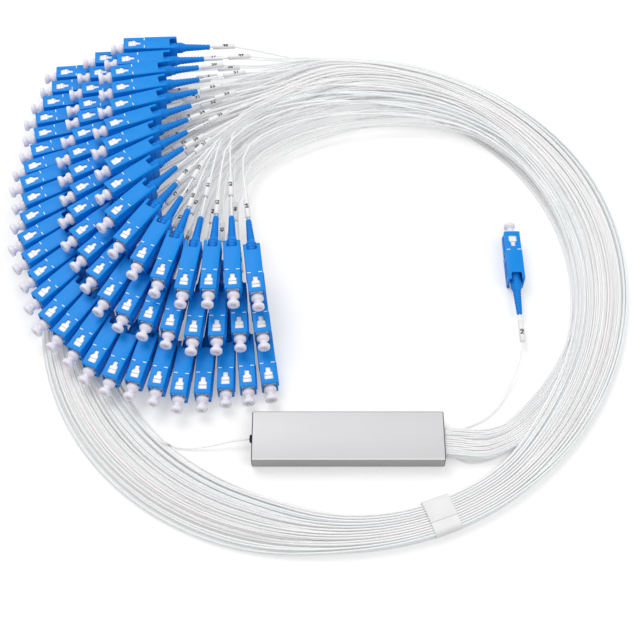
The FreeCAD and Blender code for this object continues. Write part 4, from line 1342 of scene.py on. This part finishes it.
@dataclass
class Box:
    """The metal box with its gland. Sizes in millimetres."""

    finishes: Finishes
    wall: float = 0.55
    edge: float = 0.5
    seam_half: float = 0.08
    seam_depth: float = 0.15
    rim: float = 0.35
    rim_inset: float = 0.25
    rim_edge: float = 0.12
    opening_half: float = 8.4
    opening_low: float = 1.1
    opening_high: float = 6.9

    def case(self) -> Piece:
        """Brushed rectangular tube with open ends and a fine seam line under it."""
        low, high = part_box("housing_tube")
        piece = Bench.block("metal_case", low, high, self.edge * MM, 3, True)
        wall = self.wall * MM
        hollow = Bench.block("hollow", (low.x - MM, low.y + wall, low.z + wall),
                             (high.x + MM, high.y - wall, high.z - wall), 0.3 * MM, 1, True)
        half = self.seam_half * MM
        seam = Bench.block("seam", (low.x - MM, -half, low.z - MM),
                           (high.x + MM, half, low.z + self.seam_depth * MM))
        Bench.carve(piece, hollow, seam)
        Bench.tidy(piece)
        Bench.apply(piece, "BEVEL", width=0.07 * MM, segments=1, limit_method="ANGLE",
                    angle_limit=math.radians(60))
        Bench.soften(piece, 30)
        Bench.dress(piece, self.finishes.case_metal)
        piece.data.materials.append(self.finishes.case_painted_shade)
        piece.data.materials.append(self.finishes.case_painted_highlight)
        # Faces that don't face straight up get the darker copy as painted shade; the top keeps the
        # plain brushed metal.
        side, edge = 1, 2
        for face in piece.data.polygons:
            if face.normal.z < 0.97:
                # The bevel along the front top edge gets the pale copy instead, as a painted
                # highlight.
                painted_highlight_bevel = face.normal.y < -0.2 and face.normal.z > 0.3
                face.material_index = edge if painted_highlight_bevel else side
        return finished(piece, ROOT, "housing_metal", "housing_tube")

    def end_rims(self) -> None:
        """Thin dark rims of the end caps, against both ends of the case."""
        low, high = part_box("housing_tube")
        step, half = self.rim_inset * MM, self.opening_half * MM
        for sign, name in ((-1, "input_end_rim"), (1, "output_end_rim")):
            near = low.x if sign < 0 else high.x
            start, end = sorted((near - sign * 0.05 * MM, near + sign * self.rim * MM))
            piece = Bench.block(name, (start, low.y + step, low.z + step),
                                (end, high.y - step, high.z - step), self.rim_edge * MM, 1)
            inner = Bench.block("opening", (start - MM, -half, self.opening_low * MM),
                                (end + MM, half, self.opening_high * MM))
            Bench.carve(piece, inner)
            Bench.tidy(piece)
            Bench.soften(piece)
            Bench.dress(piece, self.finishes.black_plastic)
            finished(piece, ROOT, "end_cap")

    def gland(self) -> Piece:
        """Black rubber gland with two rings, where the input tail comes out."""
        low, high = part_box("input_gland")
        stations = [(-40.9, 1.3), (-40.9, 1.95), (-41.75, 1.95), (-41.85, 1.7), (-42.0, 1.7),
                    (-42.1, 1.9), (-42.55, 1.85), (-42.85, 1.55), (-42.95, 1.1), (-42.8, 0.75),
                    (-42.6, 0.5)]
        piece = Bench.turned("gland_ring", metres(stations), 24)
        piece.data.transform(Matrix.Translation((0, 0, (low.z + high.z) / 2)))
        Bench.soften(piece, 40)
        Bench.dress(piece, self.finishes.black_rubber)
        return finished(piece, ROOT, "gland", "input_gland")

    def inner_pieces(self) -> None:
        """Finish the solids that stay as they are."""
        looks = self.finishes
        solids = (
            (looks.black_plastic, ("input_end_cap", "output_end_cap", "fanout_block",
                                   "input_spring_stop")),
            (looks.resin, ("exit_resin", "input_seal", "output_seal")),
            (looks.foam, ("adhesive_pad",)),
            (looks.steel, ("module_case", "input_ferrule_flange", "input_spring")),
            (looks.glass, ("splitter_chip", "chip_cover", "input_fibre_array",
                           "output_fibre_array")),
            (looks.sleeve, ("bare_input_fibre", "output_ribbons")),
            (looks.zirconia, ("input_ferrule", "output_ferrules")),
        )
        for material, nodes in solids:
            for node in nodes:
                Bench.dress(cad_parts[node], material)


# ---------------------------------------------------------------- plugs in place


@dataclass
class Plugs:
    """Every plug, copied from one set of patterns."""

    finishes: Finishes
    plugs: list[PlugPlace]
    input_plug: PlugPlace
    made: dict[int, list[Piece]] = field(default_factory=dict)
    input_made: list[Piece] = field(default_factory=list)

    def build(self) -> None:
        """Model the patterns, copy them to every plug and remove them."""
        shapes = PlugPatterns(self.finishes)
        grip, inner, cap, boot = shapes.grip(), shapes.frame_piece(), shapes.cap(), shapes.boot()
        frames: list[Piece] = []
        for number, plug in enumerate(self.plugs):
            name = f"plug_{number + 1:02d}"
            nodes: list[list[str]] = [[], [], [], []]
            if number == 0:
                nodes = [["output_plugs"], ["output_dust_caps"], ["output_boots"],
                         ["output_label_sleeves"]]
            if plug.grip_body != ROOT:
                nodes[:2] = [plug.grip_body], [plug.cap_body]
            body = finished(Bench.copy(grip, f"{name}_grip", plug.place), plug.grip_body,
                            "blue_plastic", *nodes[0])
            lid = finished(Bench.copy(cap, f"{name}_cap", plug.place), plug.cap_body,
                           "cap_plastic", *nodes[1])
            relief = finished(Bench.copy(boot, f"{name}_boot", plug.place), ROOT,
                              "boot_rubber", *nodes[2])
            sleeve = shapes.sleeve(plug.gap, str(number + 1))
            sleeve.name = f"{name}_sleeve"
            sleeve.data.transform(plug.place)
            finished(sleeve, ROOT, "sleeve_plastic", *nodes[3])
            frames.append(Bench.copy(inner, f"{name}_frame", plug.place))
            self.made[number] = [body, lid, relief, sleeve]
        joined = Bench.merge("output_frames", frames)
        finished(joined, ROOT, "frame_plastic", "output_plug_frames")
        self._build_input(shapes, grip, inner, cap, boot)
        Bench.discard([grip, inner, cap, boot])
        log.info("%d output plugs and one input plug", len(self.plugs))

    def _build_input(self, shapes: PlugPatterns, grip: Piece, inner: Piece,
                     cap: Piece, boot: Piece) -> None:
        """Copy the patterns to the input plug."""
        place = self.input_plug.place
        sleeve = shapes.sleeve(self.input_plug.gap, "IN")
        sleeve.name = "input_sleeve"
        sleeve.data.transform(place)
        copies = (
            (grip, "input_grip_shell", "input_grip", "blue_plastic", "input_grip"),
            (inner, "input_frame", ROOT, "frame_plastic", "input_plug_frame"),
            (cap, "input_cap", "input_dust_cap", "cap_plastic", "input_dust_cap"),
            (boot, "input_relief", ROOT, "boot_rubber", "input_boot"),
        )
        self.input_made = [finished(Bench.copy(pattern, name, place), body, slot, node)
                           for pattern, name, body, slot, node in copies]
        self.input_made.append(finished(sleeve, ROOT, "sleeve_plastic", "input_label_sleeve"))


# ---------------------------------------------------------------- studio


@dataclass
class Studio:
    """Floor, light and camera. Sizes in metres, angles in degrees, power in watts.

    Each lamp has a name, a place, the length of its sides and its power.
    """

    aim: Point = (-0.01309, 0.06319, 0.0)
    distance: float = 0.56
    elevation: float = 60.0
    view_angle: float = 29.59
    lamps: tuple[tuple[str, Point, float, float], ...] = (
        ("high_lamp", (-0.5, 0.75, 1.3), 0.9, 10.4), ("low_lamp", (0.7, -0.3, 1.1), 0.8, 3.6))
    lamp_aim: Point = (-0.01, 0.07, 0.0)
    floor_size: float = 6.0
    floor_level: float = -0.0002
    floor_glow: float = 0.36
    floor_colour: float = 0.69
    sky: float = 0.56

    def build(self) -> None:
        """Set up everything that isn't part of the splitter."""
        self._floor()
        self._sky()
        for lamp in self.lamps:
            self._lamp(*lamp)
        self._camera()
        bpy.context.scene.view_settings.view_transform = "Standard"

    def _floor(self) -> None:
        """Pale floor that keeps the shadows, and looks white to the camera."""
        Bench.clear()
        bpy.ops.mesh.primitive_plane_add(size=self.floor_size, location=(0, 0, self.floor_level))
        floor = bpy.context.object
        floor.name = "floor"
        material = bpy.data.materials.new("pale_floor")
        material.use_nodes = True
        tree = material.node_tree
        link = tree.links.new
        shader = tree.nodes["Principled BSDF"]
        shader.inputs["Base Color"].default_value = (*[self.floor_colour] * 3, 1)
        shader.inputs["Roughness"].default_value = 0.9
        shader.inputs["Specular IOR Level"].default_value = 0.1
        glow = tree.nodes.new("ShaderNodeEmission")
        glow.inputs["Strength"].default_value = self.floor_glow
        rays = tree.nodes.new("ShaderNodeLightPath")
        seen = rays.outputs["Is Camera Ray"]
        for kind in ("Is Glossy Ray", "Is Transmission Ray"):
            either = tree.nodes.new("ShaderNodeMath")
            either.operation = "MAXIMUM"
            link(seen, either.inputs[0])
            link(rays.outputs[kind], either.inputs[1])
            seen = either.outputs["Value"]
        none = tree.nodes.new("ShaderNodeEmission")
        none.inputs["Strength"].default_value = 0.0
        chosen = tree.nodes.new("ShaderNodeMixShader")
        link(seen, chosen.inputs[0])
        link(none.outputs["Emission"], chosen.inputs[1])
        link(glow.outputs["Emission"], chosen.inputs[2])
        both = tree.nodes.new("ShaderNodeAddShader")
        link(shader.outputs["BSDF"], both.inputs[0])
        link(chosen.outputs["Shader"], both.inputs[1])
        link(both.outputs["Shader"], tree.nodes["Material Output"].inputs["Surface"])
        floor.data.materials.append(material)

    def _sky(self) -> None:
        """Even white light from all round."""
        world = bpy.data.worlds.new("studio")
        bpy.context.scene.world = world
        world.use_nodes = True
        background = world.node_tree.nodes["Background"]
        background.inputs["Color"].default_value = (1, 1, 1, 1)
        background.inputs["Strength"].default_value = self.sky

    def _lamp(self, name: str, spot: Point, size: float, power: float) -> None:
        """Soft square lamp that points at the splitter."""
        light = bpy.data.lights.new(name, "AREA")
        light.size = size
        light.energy = power
        lamp = bpy.data.objects.new(name, light)
        lamp.location = spot
        beam = Vector(self.lamp_aim) - Vector(spot)
        lamp.rotation_euler = beam.to_track_quat("-Z", "Y").to_euler()
        bpy.context.scene.collection.objects.link(lamp)

    def _camera(self) -> None:
        """Camera in front of the splitter, looking down at it."""
        lens = bpy.data.cameras.new("camera")
        lens.angle = math.radians(self.view_angle)
        lens.clip_start = 0.01
        lens.clip_end = 50
        camera = bpy.data.objects.new("camera", lens)
        tilt = math.radians(self.elevation)
        back = Vector((0, -math.cos(tilt), math.sin(tilt)))
        camera.location = Vector(self.aim) + self.distance * back
        camera.rotation_euler = (math.pi / 2 - tilt, 0, 0)
        bpy.context.scene.collection.objects.link(camera)
        bpy.context.scene.camera = camera


def input_place(spot: Point = (0.0792, 0.1059, 0.0045), heading: float = 91.0,
                gap: float = 3.5) -> PlugPlace:
    """Where the input plug lies.

    Args:
        spot: middle of its front face, in metres.
        heading: the way that it points, in degrees.
        gap: distance from the boot to the label sleeve, in millimetres.

    Returns:
        The place.
    """
    turn = Matrix.Rotation(math.radians(heading), 4, "Z")
    return PlugPlace(0, 0, 0.0, Matrix.Translation(spot) @ turn, gap)


def main() -> None:
    """Build the splitter around its solids, in order."""
    logging.basicConfig(level=logging.INFO, format="%(message)s")
    finishes = Finishes()
    plugs = Fan().places()
    input_plug = input_place()
    box = Box(finishes)
    box.case()
    box.gland()
    box.end_rims()
    box.inner_pieces()
    log.info("box")
    rack = Plugs(finishes, plugs, input_plug)
    rack.build()
    tubing = Tubing(finishes, Ring())
    tubing.build(plugs, rack.made, input_plug, rack.input_made)
    tubing.strap()
    log.info("tubing and strap")
    Studio().build()


if __name__ == "__main__":
    main()
